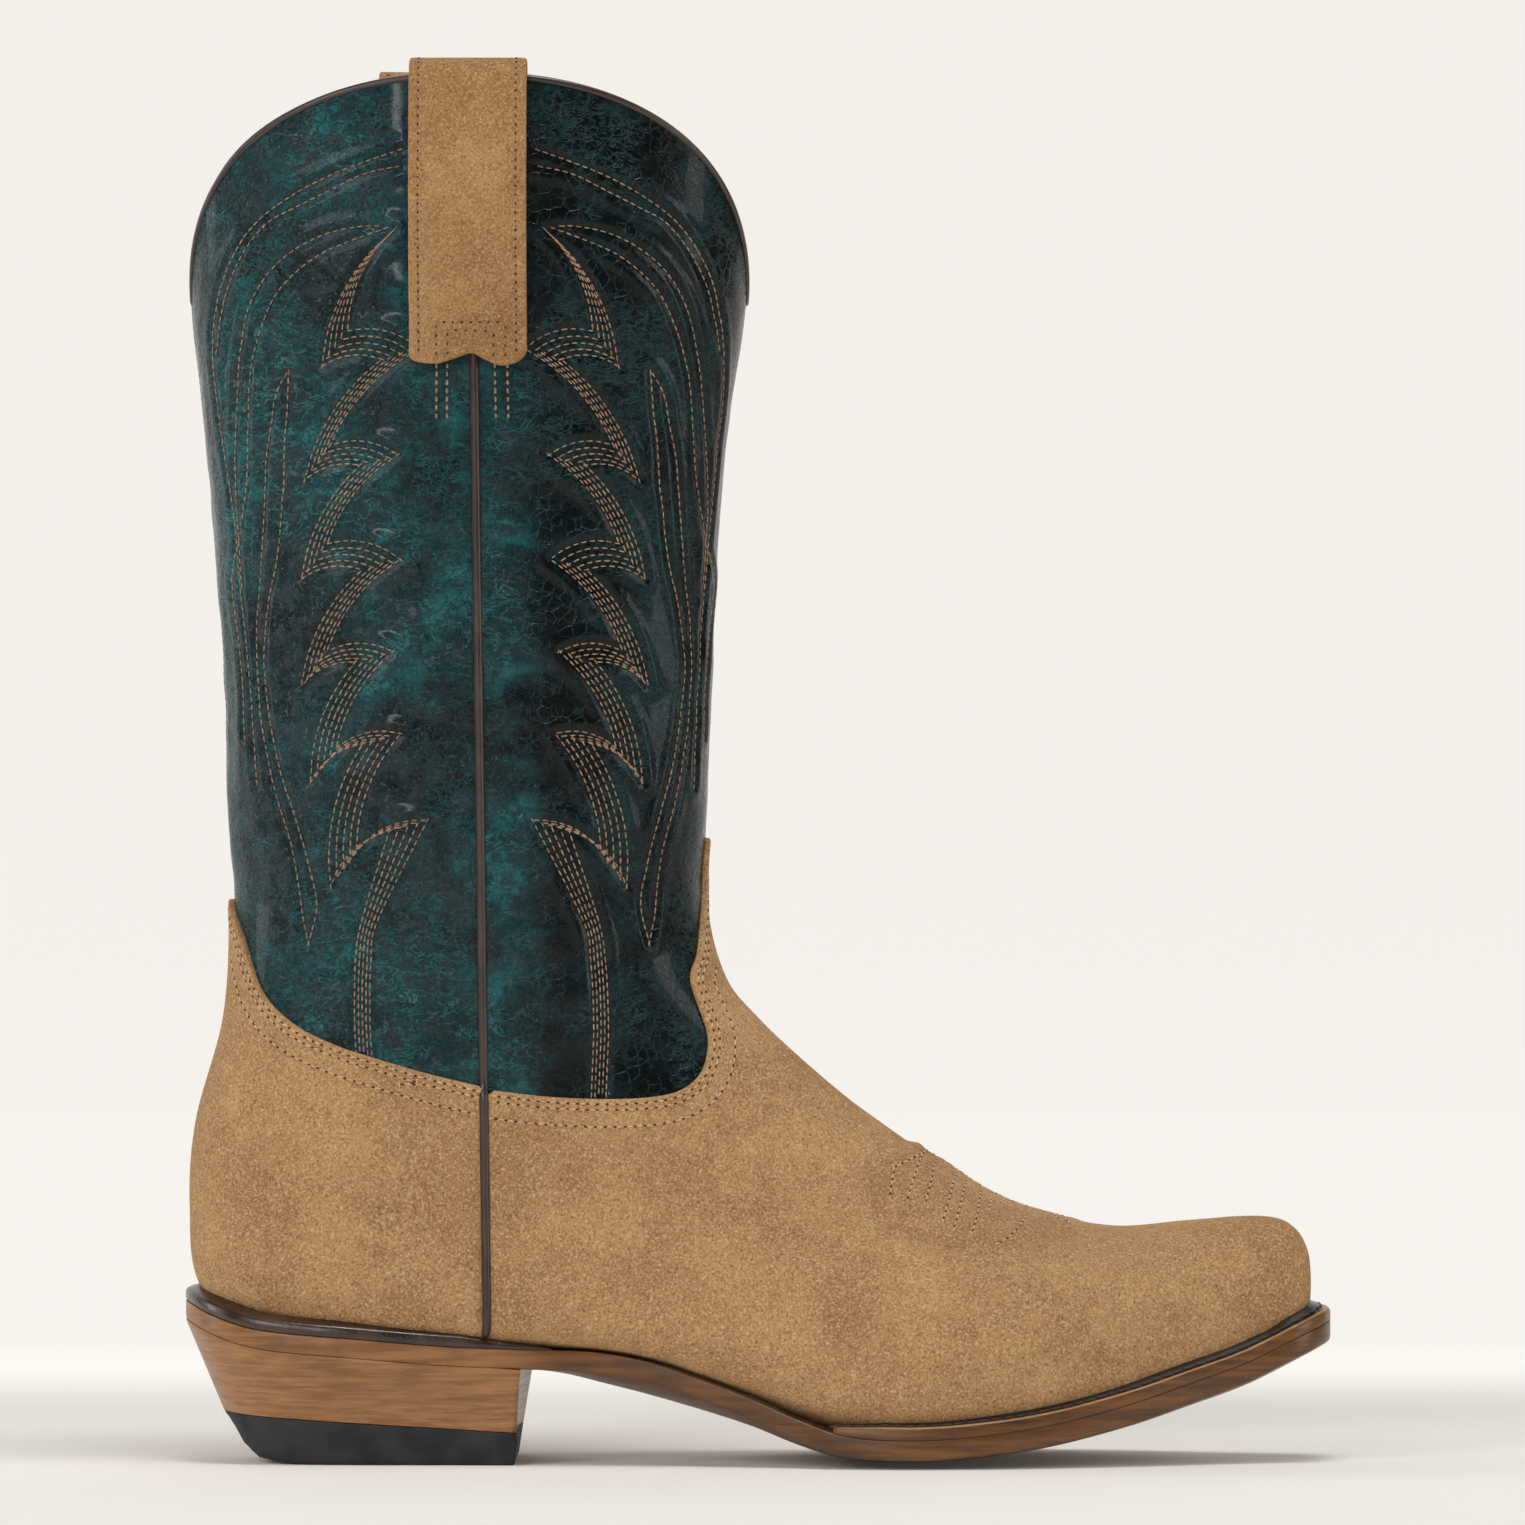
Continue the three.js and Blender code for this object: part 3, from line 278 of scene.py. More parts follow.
def addNode(tree, kind, inputs=None, **settings):
    made = tree.nodes.new(kind)
    for name, value in settings.items():
        setattr(made, name, value)
    for name, value in (inputs or {}).items():
        socket = made.inputs[name]
        if isinstance(value, bpy.types.NodeSocket):
            tree.links.new(value, socket)
        else:
            socket.default_value = value
    return made


def newMaterial(name, **shader):
    material = bpy.data.materials.new(name)
    material.use_nodes = True
    tree = material.node_tree
    tree.nodes.clear()
    body = addNode(tree, "ShaderNodeBsdfPrincipled", shader)
    addNode(tree, "ShaderNodeOutputMaterial", {"Surface": body.outputs[0]})
    coords = addNode(tree, "ShaderNodeTexCoord").outputs["Object"]
    return material, tree, body, coords


def blendColours(tree, factor, a, b):
    return addNode(tree, "ShaderNodeMix", {0: factor, 6: a, 7: b}, data_type="RGBA").outputs[2]


def ramp(tree, value, low, high, out=(0, 1)):
    return addNode(tree, "ShaderNodeMapRange", {0: value, 1: low, 2: high, 3: out[0], 4: out[1]},
                   interpolation_type="SMOOTHSTEP").outputs[0]


def maths(tree, operation, a, b):
    return addNode(tree, "ShaderNodeMath", {0: a, 1: b}, operation=operation).outputs[0]


perMm = 1000  # a texture scale of 1000 is one cell each millimetre


def noiseAt(tree, coords, size, detail=2.0, rough=.5, distortion=0.0):
    return addNode(tree, "ShaderNodeTexNoise", {"Vector": coords, "Scale": perMm / size, "Detail": detail,
                                                "Roughness": rough, "Distortion": distortion}).outputs[0]


glazedLook = {"black": "#040809", "teal": "#0B3B3E", "bright": "#1A6B6E", "sheenSlate": "#2A363B", "glintGrey": "#8CA0A2", "pale": "#4C9A97",
              "zone": 42, "patch": 13, "flats": 8, "grain": 1.6, "web": 3.2, "hair": 7, "fineHair": 2.6}


def filaments(tree, coords, size, thin, detail=6.0):  # thin wandering lines where a cloudy noise crosses its middle
    clouds = noiseAt(tree, coords, size, detail, .62, .6)
    off = addNode(tree, "ShaderNodeMath", {0: maths(tree, "SUBTRACT", clouds, .5)}, operation="ABSOLUTE").outputs[0]
    return ramp(tree, off, thin, 0)


def glazedLeather():
    # oiled and glazed pull-up calf: black-green where it is flat, clear teal where it has been bent, webbed with
    # creases; slate crowns, pale crease lines and grey speckles on it are painted sheen and highlight
    look = glazedLook
    material, tree, body, coords = newMaterial(
        "oiledPullUpCalf", **{"Coat Weight": .12, "Coat Roughness": .07, "IOR": 1.45, "Specular IOR Level": .24})
    place = addNode(tree, "ShaderNodeSeparateXYZ", {0: coords}).outputs
    behind = ramp(tree, place[0], -.05, -.125)
    byPlace = addNode(tree, "ShaderNodeMath", {0: maths(tree, "ADD", maths(tree, "MULTIPLY", place[2], .0157),
                                                        maths(tree, "ADD", place[0], .0724))}, operation="ABSOLUTE")
    bySeam = ramp(tree, byPlace.outputs[0], .021, .004)
    zone = noiseAt(tree, coords, look["zone"], 3, .55, .3)
    patch = noiseAt(tree, coords, look["patch"], 5, .6, .4)
    flats = noiseAt(tree, coords, look["flats"], 4, .6, .8)
    bent = maths(tree, "MAXIMUM", maths(tree, "MULTIPLY", behind, .95), maths(tree, "MULTIPLY", bySeam, .6))
    teal = maths(tree, "MULTIPLY", ramp(tree, zone, .4, .6, (.08, 1)), maths(tree, "ADD", bent, .06))
    teal = addNode(tree, "ShaderNodeMath", {0: maths(tree, "MULTIPLY", teal, 1.25), 1: ramp(
        tree, patch, .28, .62, (.35, 1.15))}, operation="MULTIPLY", use_clamp=True).outputs[0]
    ground = blendColours(tree, teal, linear(look["black"]), linear(look["teal"]))
    ground = blendColours(tree, maths(tree, "MULTIPLY", ramp(tree, patch, .5, .7), teal), ground, linear(look["bright"]))
    # slate grey on the raised crowns of the bent leather: a painted sheen
    sheenCrowns = maths(tree, "MULTIPLY", ramp(tree, flats, .47, .56), maths(tree, "MULTIPLY", bent, .75))
    ground = blendColours(tree, sheenCrowns, ground, linear(look["sheenSlate"]))
    wander = addNode(tree, "ShaderNodeTexNoise", {"Vector": coords, "Scale": perMm / 5, "Detail": 4.0}).outputs[1]
    pushed = addNode(tree, "ShaderNodeMix", {0: .003, 4: coords, 5: wander}, data_type="VECTOR").outputs[1]
    web = addNode(tree, "ShaderNodeTexVoronoi", {"Vector": pushed, "Scale": perMm / look["web"]},
                  feature="DISTANCE_TO_EDGE").outputs[0]
    small = addNode(tree, "ShaderNodeTexVoronoi", {"Vector": pushed, "Scale": perMm / look["grain"]},
                    feature="DISTANCE_TO_EDGE").outputs[0]
    pebble = ramp(tree, small, .0, .16)  # dark between the pebbles of the grain
    webMask = ramp(tree, noiseAt(tree, coords, 12, 3), .4, .55)
    webLines = maths(tree, "MULTIPLY", ramp(tree, web, .07, 0), webMask)
    drawn = addNode(tree, "ShaderNodeMapping", {"Vector": coords, "Scale": (.75, .75, 1.5)}).outputs[0]
    hair = filaments(tree, drawn, look["hair"], .018)  # creases run level where the leather folds against the seam
    fineHair = filaments(tree, drawn, look["fineHair"], .034, 4.0)
    webbed = ramp(tree, noiseAt(tree, coords, 22, 3), .42, .6)
    hairs = maths(tree, "MULTIPLY", maths(tree, "MAXIMUM", hair, maths(tree, "MULTIPLY", fineHair, .7)), webbed)
    darker = maths(tree, "ADD", .5, maths(tree, "MULTIPLY", pebble, .5))
    pebbled = addNode(tree, "ShaderNodeVectorMath", {0: ground, 3: darker}, operation="SCALE").outputs[0]
    colour = blendColours(tree, teal, ground, pebbled)
    shown = maths(tree, "ADD", .35, maths(tree, "MULTIPLY", bent, .55))
    colour = blendColours(tree, maths(tree, "MULTIPLY", webLines, shown), colour, linear(look["teal"]))
    colour = blendColours(tree, maths(tree, "MULTIPLY", hairs, shown), colour, linear(look["bright"]))
    colour = blendColours(tree, maths(tree, "MULTIPLY", ramp(tree, web, .05, 0), maths(tree, "MULTIPLY", teal, .55)),
                          colour, linear(look["black"]))
    # pale colour along the creases of the bent leather: a painted highlight
    lit = maths(tree, "MULTIPLY", maths(tree, "MULTIPLY", hair, ramp(tree, zone, .45, .62)), maths(
        tree, "MULTIPLY", bent, .55))
    colour = blendColours(tree, lit, colour, linear(look["pale"]))
    # pale grey speckles on the bent leather near the seam: painted glints of highlight
    paintedGlints = maths(tree, "MULTIPLY", ramp(tree, noiseAt(tree, coords, .9, 2, .6), .6, .72), maths(
        tree, "MULTIPLY", bent, ramp(tree, zone, .6, .42)))
    colour = blendColours(tree, maths(tree, "MULTIPLY", paintedGlints, .3), colour, linear(look["glintGrey"]))
    tree.links.new(colour, body.inputs["Base Color"])
    rough = maths(tree, "ADD", ramp(tree, patch, .3, .7, (.17, .3)), maths(tree, "MULTIPLY", hairs, .1))
    tree.links.new(rough, body.inputs["Roughness"])
    pebbleBump = addNode(tree, "ShaderNodeBump", {"Strength": .35, "Distance": .0003, "Height": maths(
        tree, "MULTIPLY", pebble, maths(tree, "ADD", .2, bent))})
    crease = addNode(tree, "ShaderNodeBump", {"Strength": .5, "Distance": .0006, "Height": maths(
        tree, "MULTIPLY", maths(tree, "MAXIMUM", hairs, webLines), -1.0), "Normal": pebbleBump.outputs[0]})
    pulled = maths(tree, "MULTIPLY", flats, maths(tree, "ADD", .25, bent))
    soft = addNode(tree, "ShaderNodeBump", {"Strength": .6, "Distance": .003, "Height": pulled,
                                            "Normal": crease.outputs[0]})
    tree.links.new(soft.outputs[0], body.inputs["Normal"])
    return material


suedeLook = {"light": "#C79C6B", "dark": "#AC8156", "pale": "#E2BF96", "deep": "#7B5632", "nap": .7, "brushed": 26}


def suede(name="calfSuede", look=suedeLook):
    # calf split with a short brushed nap: matt, pale where the nap stands up, a fine salt-and-pepper of fibre tips
    material, tree, body, coords = newMaterial(name, **{
        "Roughness": .95, "Sheen Weight": .22, "Sheen Roughness": .45, "Sheen Tint": linear("#E2C59C"), "IOR": 1.45,
        "Specular IOR Level": .2})
    strokes = noiseAt(tree, coords, look["brushed"], 3, .55, .2)
    mottle = noiseAt(tree, coords, 4.5, 3, .6)
    fibres = noiseAt(tree, coords, look["nap"], 3, .75, .3)  # drawn about twice the real fibre size, so it shows
    cloud = maths(tree, "ADD", maths(tree, "MULTIPLY", strokes, .65), maths(tree, "MULTIPLY", mottle, .35))
    ground = blendColours(tree, ramp(tree, cloud, .36, .66), linear(look["dark"]), linear(look["light"]))
    colour = blendColours(tree, ramp(tree, fibres, .5, .68, (0, .9)), ground, linear(look["pale"]))
    colour = blendColours(tree, ramp(tree, fibres, .49, .31, (0, .85)), colour, linear(look["deep"]))
    tree.links.new(colour, body.inputs["Base Color"])
    bump = addNode(tree, "ShaderNodeBump", {"Strength": .9, "Distance": .0006, "Height": fibres})
    tree.links.new(bump.outputs[0], body.inputs["Normal"])
    return material


def plainLeather(name, light, dark, rough, grain=.8, coat=.0, patch=14):
    # vegetable-tanned or dyed trim: an even colour with a little clouding and a fine grain
    material, tree, body, coords = newMaterial(name, **{"Coat Weight": coat, "Coat Roughness": .2, "IOR": 1.5})
    clouds = noiseAt(tree, coords, patch, 4, .6)
    pores = noiseAt(tree, coords, grain, 2)
    colour = blendColours(tree, ramp(tree, clouds, .3, .7), linear(dark), linear(light))
    tree.links.new(colour, body.inputs["Base Color"])
    tree.links.new(ramp(tree, clouds, .3, .7, (rough - .07, rough + .07)), body.inputs["Roughness"])
    bump = addNode(tree, "ShaderNodeBump", {"Strength": .3, "Distance": .0003, "Height": pores})
    tree.links.new(bump.outputs[0], body.inputs["Normal"])
    return material


def stackedLeather(name, light, dark, rough, layer=1.6, coat=.25, behind=None):
    # edges of sole leather, sanded and burnished with wax: fine level streaks along the layers
    material, tree, body, coords = newMaterial(name, **{"Coat Weight": coat, "Coat Roughness": .25, "IOR": 1.5})
    flat = addNode(tree, "ShaderNodeMapping", {"Vector": coords, "Scale": (.08, .08, 1)}).outputs[0]
    streaks = noiseAt(tree, flat, layer, 4, .65)
    clouds = noiseAt(tree, coords, 18, 3)
    pores = noiseAt(tree, coords, .6, 2)
    ground = blendColours(tree, ramp(tree, streaks, .3, .7), linear(dark), linear(light))
    if behind:  # over the heel the sole's edge is sanded to the colour of the stack
        along = addNode(tree, "ShaderNodeSeparateXYZ", {0: coords}).outputs[0]
        over = blendColours(tree, ramp(tree, streaks, .3, .7), linear(behind[1]), linear(behind[0]))
        ground = blendColours(tree, ramp(tree, along, -.05, -.075), ground, over)
    colour = blendColours(tree, maths(tree, "MULTIPLY", ramp(tree, clouds, .55, .75), .45), ground, linear(dark))
    tree.links.new(colour, body.inputs["Base Color"])
    tree.links.new(ramp(tree, pores, .3, .7, (rough - .06, rough + .08)), body.inputs["Roughness"])
    bump = addNode(tree, "ShaderNodeBump", {"Strength": .25, "Distance": .0003, "Height": streaks})
    tree.links.new(bump.outputs[0], body.inputs["Normal"])
    return material


def wornRubber():
    # carbon-filled nitrile cap, moulded and ground flush: dull grey-black with a fine pitted skin
    material, tree, body, coords = newMaterial("nitrileRubber", **{"IOR": 1.5, "Specular IOR Level": .35})
    clouds = noiseAt(tree, coords, 10, 4)
    pits = noiseAt(tree, coords, .5, 2)
    tree.links.new(blendColours(tree, ramp(tree, clouds, .3, .7), linear("#222225"), linear("#343437")),
                   body.inputs["Base Color"])
    tree.links.new(ramp(tree, pits, .3, .7, (.6, .75)), body.inputs["Roughness"])
    bump = addNode(tree, "ShaderNodeBump", {"Strength": .4, "Distance": .0003, "Height": pits})
    tree.links.new(bump.outputs[0], body.inputs["Normal"])
    return material


def forgedSteel():
    # spring steel strip and cut nails: rolled, with a faint oxide
    material, tree, body, coords = newMaterial("springSteel", **{"Metallic": 1.0})
    clouds = noiseAt(tree, coords, 4, 4)
    tree.links.new(blendColours(tree, clouds, linear("#6E6A66"), linear("#A09C97")), body.inputs["Base Color"])
    tree.links.new(ramp(tree, clouds, .3, .7, (.32, .5)), body.inputs["Roughness"])
    return material


def sewingThread(name, light, dark, rough=.55):
    # bonded three-cord polyester, waxed: a slight sheen; its light and dark mottle is painted shade and highlight of
    # the twist (drawn coarser than real)
    material, tree, body, coords = newMaterial(name, **{"Sheen Weight": .15, "IOR": 1.5})
    twist = noiseAt(tree, coords, .5, 1)
    tree.links.new(blendColours(tree, ramp(tree, twist, .35, .65), linear(dark), linear(light)),
                   body.inputs["Base Color"])
    tree.links.new(ramp(tree, twist, .3, .7, (rough, rough + .15)), body.inputs["Roughness"])
    return material


materials = {
    "glazed": glazedLeather(),
    "suede": suede(),
    "lining": plainLeather("liningCalf", "#B08D62", "#8F6E48", .6),
    "board": plainLeather("stiffenerBoard", "#C9B68F", "#A8946C", .85, .6),
    "trim": plainLeather("edgeTrimCalf", "#43322A", "#2A1E19", .34, .7, .3),
    "welt": plainLeather("weltLeather", "#221E1D", "#100E0E", .38, .6, .25),
    "rand": plainLeather("randLeather", "#4A3428", "#281A14", .28, .7, .3),
    "sole": stackedLeather("soleBend", "#7C5024", "#4A2E14", .36, 2.2, .06, ("#A37142", "#7C522C")),
    "bevel": plainLeather("sandedBevel", "#B4864F", "#94693A", .4, .7),
    "heel": stackedLeather("heelLeather", "#AC7A48", "#82572F", .36, 1.1, .12),
    "insole": plainLeather("insoleShoulder", "#B58E60", "#946F45", .65),
    "cork": plainLeather("groundCork", "#A67B4E", "#6F4C2C", .9, 1.4, 0, 2.5),
    "steel": forgedSteel(),
    "rubber": wornRubber(),
    "wood": stackedLeather("lemonwood", "#D2B47C", "#A98650", .6, .8, 0),
    "thread": sewingThread("waxedThread", "#BC9A7E", "#8A6650"),
    "suedeThread": sewingThread("tanWaxedThread", "#E3C297", "#C09A6B"),
    "strapThread": sewingThread("strapThread", "#B98F60", "#93693F"),
    "strapSuede": suede("strapSuede", {**suedeLook, "light": "#BC9161", "dark": "#A1764A", "pale": "#D3AE82"}),
    "darkThread": sewingThread("darkWaxedThread", "#4A3428", "#241812"),
    # dark brown for the stitch holes: painted shade inside each hole
    "hole": plainLeather("needleHoleShade", "#4A331E", "#2E1E10", .95, .6),
}
nodeLooks = {
    "shaft": "glazed", "vamp_interlining": "board", "toe_box": "board", "heel_stiffener": "board", "shaft_lining": "lining",
    "vamp_lining": "lining", "heel_lining": "lining", "vamp": "suede", "heel_cover": "suede", "outer_piping": "trim",
    "inner_piping": "trim", "top_binding": "trim", "outer_pull_strap": "strapSuede", "inner_pull_strap": "strapSuede",
    "outer_strap_backing": "lining", "inner_strap_backing": "lining", "insole": "insole", "heel_sock": "lining",
    "cork_filler": "cork", "shank_cover": "insole", "steel_shank": "steel", "outsole": "sole", "welt": "welt",
    "heel_rand": "rand", "heel_lift": "heel", "heel_cap": "rubber", "heel_nail": "steel", "waist_peg": "wood"}


def dressNodes():
    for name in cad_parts:
        made = bpy.data.objects.get(name)
        if made is None or made.type != "MESH":
            continue
        look = max((key for key in nodeLooks if name.startswith(key)), key=len)
        made.data.materials.clear()
        made.data.materials.append(materials[nodeLooks[look]])


dressNodes()
print("materials made")

# making pieces

def addPiece(name, points, faces, look, nodes=(), attributes=None, looks=None):
    mesh = bpy.data.meshes.new(name)
    mesh.from_pydata(toFrame(points).tolist(), [], [tuple(int(i) for i in f) for f in faces])
    for each in [look] if looks is None else look:
        mesh.materials.append(materials[each])
    if looks is not None:
        mesh.polygons.foreach_set("material_index", looks)
    for key, values in (attributes or {}).items():
        mesh.attributes.new(key, "FLOAT", "POINT").data.foreach_set("value", np.asarray(values, np.float32))
    work = bmesh.new()
    work.from_mesh(mesh)
    bmesh.ops.remove_doubles(work, verts=work.verts, dist=1e-6)
    bmesh.ops.recalc_face_normals(work, faces=work.faces)
    if work.calc_volume(signed=True) < 0:
        bmesh.ops.reverse_faces(work, faces=work.faces)
    work.to_mesh(mesh)
    work.free()
    mesh.polygons.foreach_set("use_smooth", [True] * len(mesh.polygons))
    piece = bpy.data.objects.new(name, mesh)
    bpy.context.scene.collection.objects.link(piece)
    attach(piece, "root")
    if nodes:
        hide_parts(*nodes)
    return piece


def nearest(points, samples):
    tree = kdtree.KDTree(len(samples))
    for i, p in enumerate(samples):
        tree.insert(Vector(p), i)
    tree.balance()
    return np.array([tree.find(Vector(p))[2] for p in points])


surfaces = {}


def keepSurface(name, points, faces):
    surfaces[name] = BVHTree.FromPolygons(np.asarray(points).tolist(), [tuple(int(i) for i in f) for f in faces])


def restOn(name, points, normals, lift, reach=5):  # where a needle coming straight in meets the finished leather
    rested = []
    for p, n in zip(points, normals):
        hit = surfaces[name].ray_cast(Vector(p + n * reach), Vector(-n), reach * 2)[0]
        rested.append(np.array(hit) + n * lift if hit is not None else p + n * lift)
    return np.array(rested)


def flat3(points):
    return np.column_stack([points, np.zeros(len(points))])


def evenLoop(outline, step):
    closed = np.vstack([outline, outline[:1]])
    pieces = []
    for a, b in zip(closed[:-1], closed[1:]):
        count = max(int(round(np.linalg.norm(b - a) / step)), 1)
        pieces.append(a + (b - a) * (np.arange(count) / count)[:, None])
    return np.vstack(pieces)


def fillOutline(loop, extra):
    points = np.vstack([loop, extra]) if len(extra) else loop
    n = len(loop)
    coords, _, faces, origins, _, _ = delaunay_2d_cdt([Vector(p) for p in points], [], [list(range(n))], 1, 1e-4)
    place = {}
    for new, old in enumerate(origins):
        for i in old:
            place[i] = new
    return np.array([tuple(c) for c in coords]), faces, [place[i] for i in range(n)]


def sheetMesh(outline, lay, step, outer, inner, rounding=.7, cutEdge=None, relief=None, coarse=6, loopStep=None,
              sewn=None):
    # A sheet of leather cut to an outline, laid on the boot, with its cut edges rounded over.
    loop = evenLoop(np.asarray(outline, float), loopStep or step)
    cut = evenLoop(loop, .4) if cutEdge is None else np.vstack([curveThrough(c, .4) if len(c) > 2 else c for c in cutEdge])
    low, high = loop.min(0), loop.max(0)
    rows = np.arange(low[1], high[1], step * .87)
    cells = [np.column_stack([np.arange(low[0] + (k % 2) * step / 2, high[0], step),
                              np.full(len(np.arange(low[0] + (k % 2) * step / 2, high[0], step)), v)])
             for k, v in enumerate(rows)]
    grid = np.vstack(cells)
    edgeSamples = flat3(evenLoop(loop, .5))
    grid = grid[nearest(flat3(grid), edgeSamples) > step * .6]
    extra = [grid]
    if sewn is not None:  # closer points beside the rows of stitching, so that their grooves come out sharp
        beside = []
        for line in sewn:
            run = np.gradient(line, axis=0)
            run /= np.maximum(np.linalg.norm(run, axis=1, keepdims=True), 1e-9)
            side = np.column_stack([run[:, 1], -run[:, 0]])
            beside += [line + side * d for d in (-1.9, -1.1, -.5, 0, .5, 1.1, 1.9)]
        beside = np.vstack(beside)
        beside = beside[nearest(flat3(beside), edgeSamples) > .8]
        extra = [grid[nearest(flat3(grid), flat3(beside)) > .55], beside]
    if rounding:
        for inset in (.25 * rounding, .6 * rounding, 1.05 * rounding):
            line = np.vstack([cut])
            tangent = np.gradient(line, axis=0)
            tangent /= np.maximum(np.linalg.norm(tangent, axis=1, keepdims=True), 1e-9)
            for sign in (1, -1):
                moved = line + sign * inset * np.column_stack([tangent[:, 1], -tangent[:, 0]])
                moved = moved[::max(int(step / .4), 1)]
                extra.append(moved[nearest(flat3(moved), edgeSamples) > inset * .85])
    flat, faces, rim = fillOutline(loop, np.vstack(extra))
    gap = nearest(flat3(flat), flat3(cut))
    rise = np.zeros(len(flat))
    if rounding:
        rise = rounding * (np.sqrt(1 - (1 - np.clip(gap / rounding, 0, 1)) ** 2) - 1)
    base, normals = lay(flat, np.full(len(flat), outer))
    extraRise = relief(base, gap) if relief is not None else np.zeros(len(flat))
    top = base + normals * (rise + extraRise)[:, None]
    keep = np.arange(low[1], high[1], coarse)
    under = np.vstack([np.column_stack([np.arange(low[0], high[0], coarse), np.full(len(np.arange(low[0], high[0], coarse)), v)])
                       for v in keep])
    under = under[nearest(flat3(under), edgeSamples) > coarse * .5]
    flatUnder, facesUnder, rimUnder = fillOutline(loop, under)
    bottom, _ = lay(flatUnder, np.full(len(flatUnder), inner))
    n = len(top)
    allFaces = [tuple(f) for f in faces] + [tuple(n + i for i in reversed(f)) for f in facesUnder]
    for k in range(len(loop)):
        a, b = rim[k], rim[(k + 1) % len(loop)]
        c, d = n + rimUnder[(k + 1) % len(loop)], n + rimUnder[k]
        if a != b:
            allFaces.append((b, a, d, c))
    fade = np.concatenate([gap, np.zeros(len(bottom))])
    lifted = np.concatenate([extraRise, np.zeros(len(bottom))])
    return np.vstack([top, bottom]), allFaces, {"edgeGap": fade, "relief": lifted}


def frontLay(flat, lift):
    return offSurface(flat[:, 0], flat[:, 1], lift)


def backLay(flat, lift):
    return offSurface(fromBack(flat[:, 0], flat[:, 1]), flat[:, 1], lift)


# stitch lines, in side view for one side and mirrored on the other

seamAt = lambda z: -73.7 - .0157 * z
flameTeeth = [(13.9, 304.2), (20, 275.4), (19.8, 247), (22, 221.9), (20.4, 199.6), (13.9, 176)]
flameBarbs = [(39.2, 299.5), (44.2, 268.5), (45.4, 241.7), (45.9, 212.4), (43.8, 186), (39.1, 157.9)]
flameLook = {"rows": 5, "toothStep": (2.45, -.7), "barbStep": (1.7, -2.4), "start": (19.7, 336.7),
             "stem": [(29.4, 148), (31, 138), (31.5, 120), (30.6, 101)]}


def bowed(a, b, bow):  # an arc from a to b that stands off the straight line to its left
    a, b = np.array(a, float), np.array(b, float)
    d = b - a
    return curveThrough([a + d * t + np.array([-d[1], d[0]]) * bow * 4 * t * (1 - t) for t in (0, .2, .4, .6, .8, 1)], .6)


def flameRows(look=flameLook):
    lines = []
    last = look["rows"] - 1
    tooth = lambda k, r: np.array(flameTeeth[k]) + r * np.array(look["toothStep"])
    barb = lambda k, r: np.array(flameBarbs[k]) - (last - r) * np.array(look["barbStep"])
    for r in range(look["rows"]):
        lines.append(bowed(look["start"], barb(0, r), .1))
        for k in range(len(flameTeeth)):
            lines.append(bowed(barb(k, r), tooth(k, r), -.13))
            if k + 1 < len(flameBarbs):
                lines.append(bowed(tooth(k, r), barb(k + 1, r), .085))
        shift = np.array([(r - last / 2) * 1.0, 0])
        stem = [tooth(len(flameTeeth) - 1, r)] + [np.array(p) + shift for p in look["stem"]]
        lines.append(curveThrough(stem, .6))
    return lines


outerLines = [
    [(-62, 358.5), (-52, 355), (-42, 351), (-32, 345.5), (-23.5, 339), (-17, 330), (-12.5, 318), (-10.8, 300), (-13.5, 270),
     (-16, 240), (-18, 210), (-19, 185)],
    [(-62, 354), (-52, 351.8), (-42, 347), (-33, 342.5), (-26, 338.5), (-19, 329.5), (-14.2, 318), (-11.8, 304)],
]
secondLines = [
    [(-57, 337.5), (-50.5, 337.5), (-41, 335.4), (-32.6, 331), (-26, 325), (-21, 316.5), (-19, 309), (-17.5, 300),
     (-16, 280), (-15.4, 262), (-16.5, 240)],
    [(-57, 337), (-45, 332.5), (-38.9, 329.5), (-32.6, 324.6), (-27.7, 318.9), (-24.2, 311.3), (-21.5, 302.9),
     (-20, 293.6), (-19.3, 281.9), (-18.8, 271.6), (-17.7, 263.5), (-15.8, 252.6), (-13.6, 242.2), (-14.7, 226.5),
     (-15.8, 216), (-16.3, 198.5)],
]
leafLines = [
    [(-30.7, 298.8), (-29.9, 287.4), (-29, 279.5), (-28.2, 266.4), (-27.7, 262.9), (-26, 247.4), (-23, 233.8),
     (-21.4, 219.2), (-22.5, 204.8), (-24.9, 190), (-28.7, 175.7), (-31.7, 163.2), (-33.3, 152.6), (-30.9, 142.3)],
    [(-30.7, 298.8), (-27.1, 292), (-25.5, 283.5), (-23.9, 274.3), (-23.3, 266.4), (-21.4, 242.2), (-19.8, 228.6),
     (-19.8, 212.9), (-20.9, 199), (-23.9, 181.9), (-27.1, 169.4), (-28.7, 158.8), (-29.6, 149.6), (-30.9, 142.3)],
]


def mirrored(line):  # the back half repeats the front about the side seam, a little wider
    return np.array([(seamAt(z) - (x - seamAt(z)) * 1.06, z) for x, z in line])


def placeLines(lines, outside, back, reach=.9985):
    placed = []
    for line in lines:
        line = np.asarray(line, float)
        if not outside:  # the inside seam lies further back
            line = line - np.array([8.7, 0])
        drawn = fromSideView(line, outside, reach)
        placed.append(drawn)
    return placed


def bootStitches():
    front, back = [], []
    flame = [np.column_stack([seamAt(l[:, 1]) + l[:, 0], l[:, 1]]) for l in flameRows()]
    others = [curveThrough(l, .8) for l in outerLines + secondLines + leafLines]
    for outside in (True, False):
        for line in flame + others:
            front.append(placeLines([line], outside, False)[0])
            back.append(placeLines([mirrored(line)], outside, True)[0])
    return front, back


stitchesFront, stitchesBack = bootStitches()
print("stitch lines", len(stitchesFront) + len(stitchesBack))

stitchTrees = {}


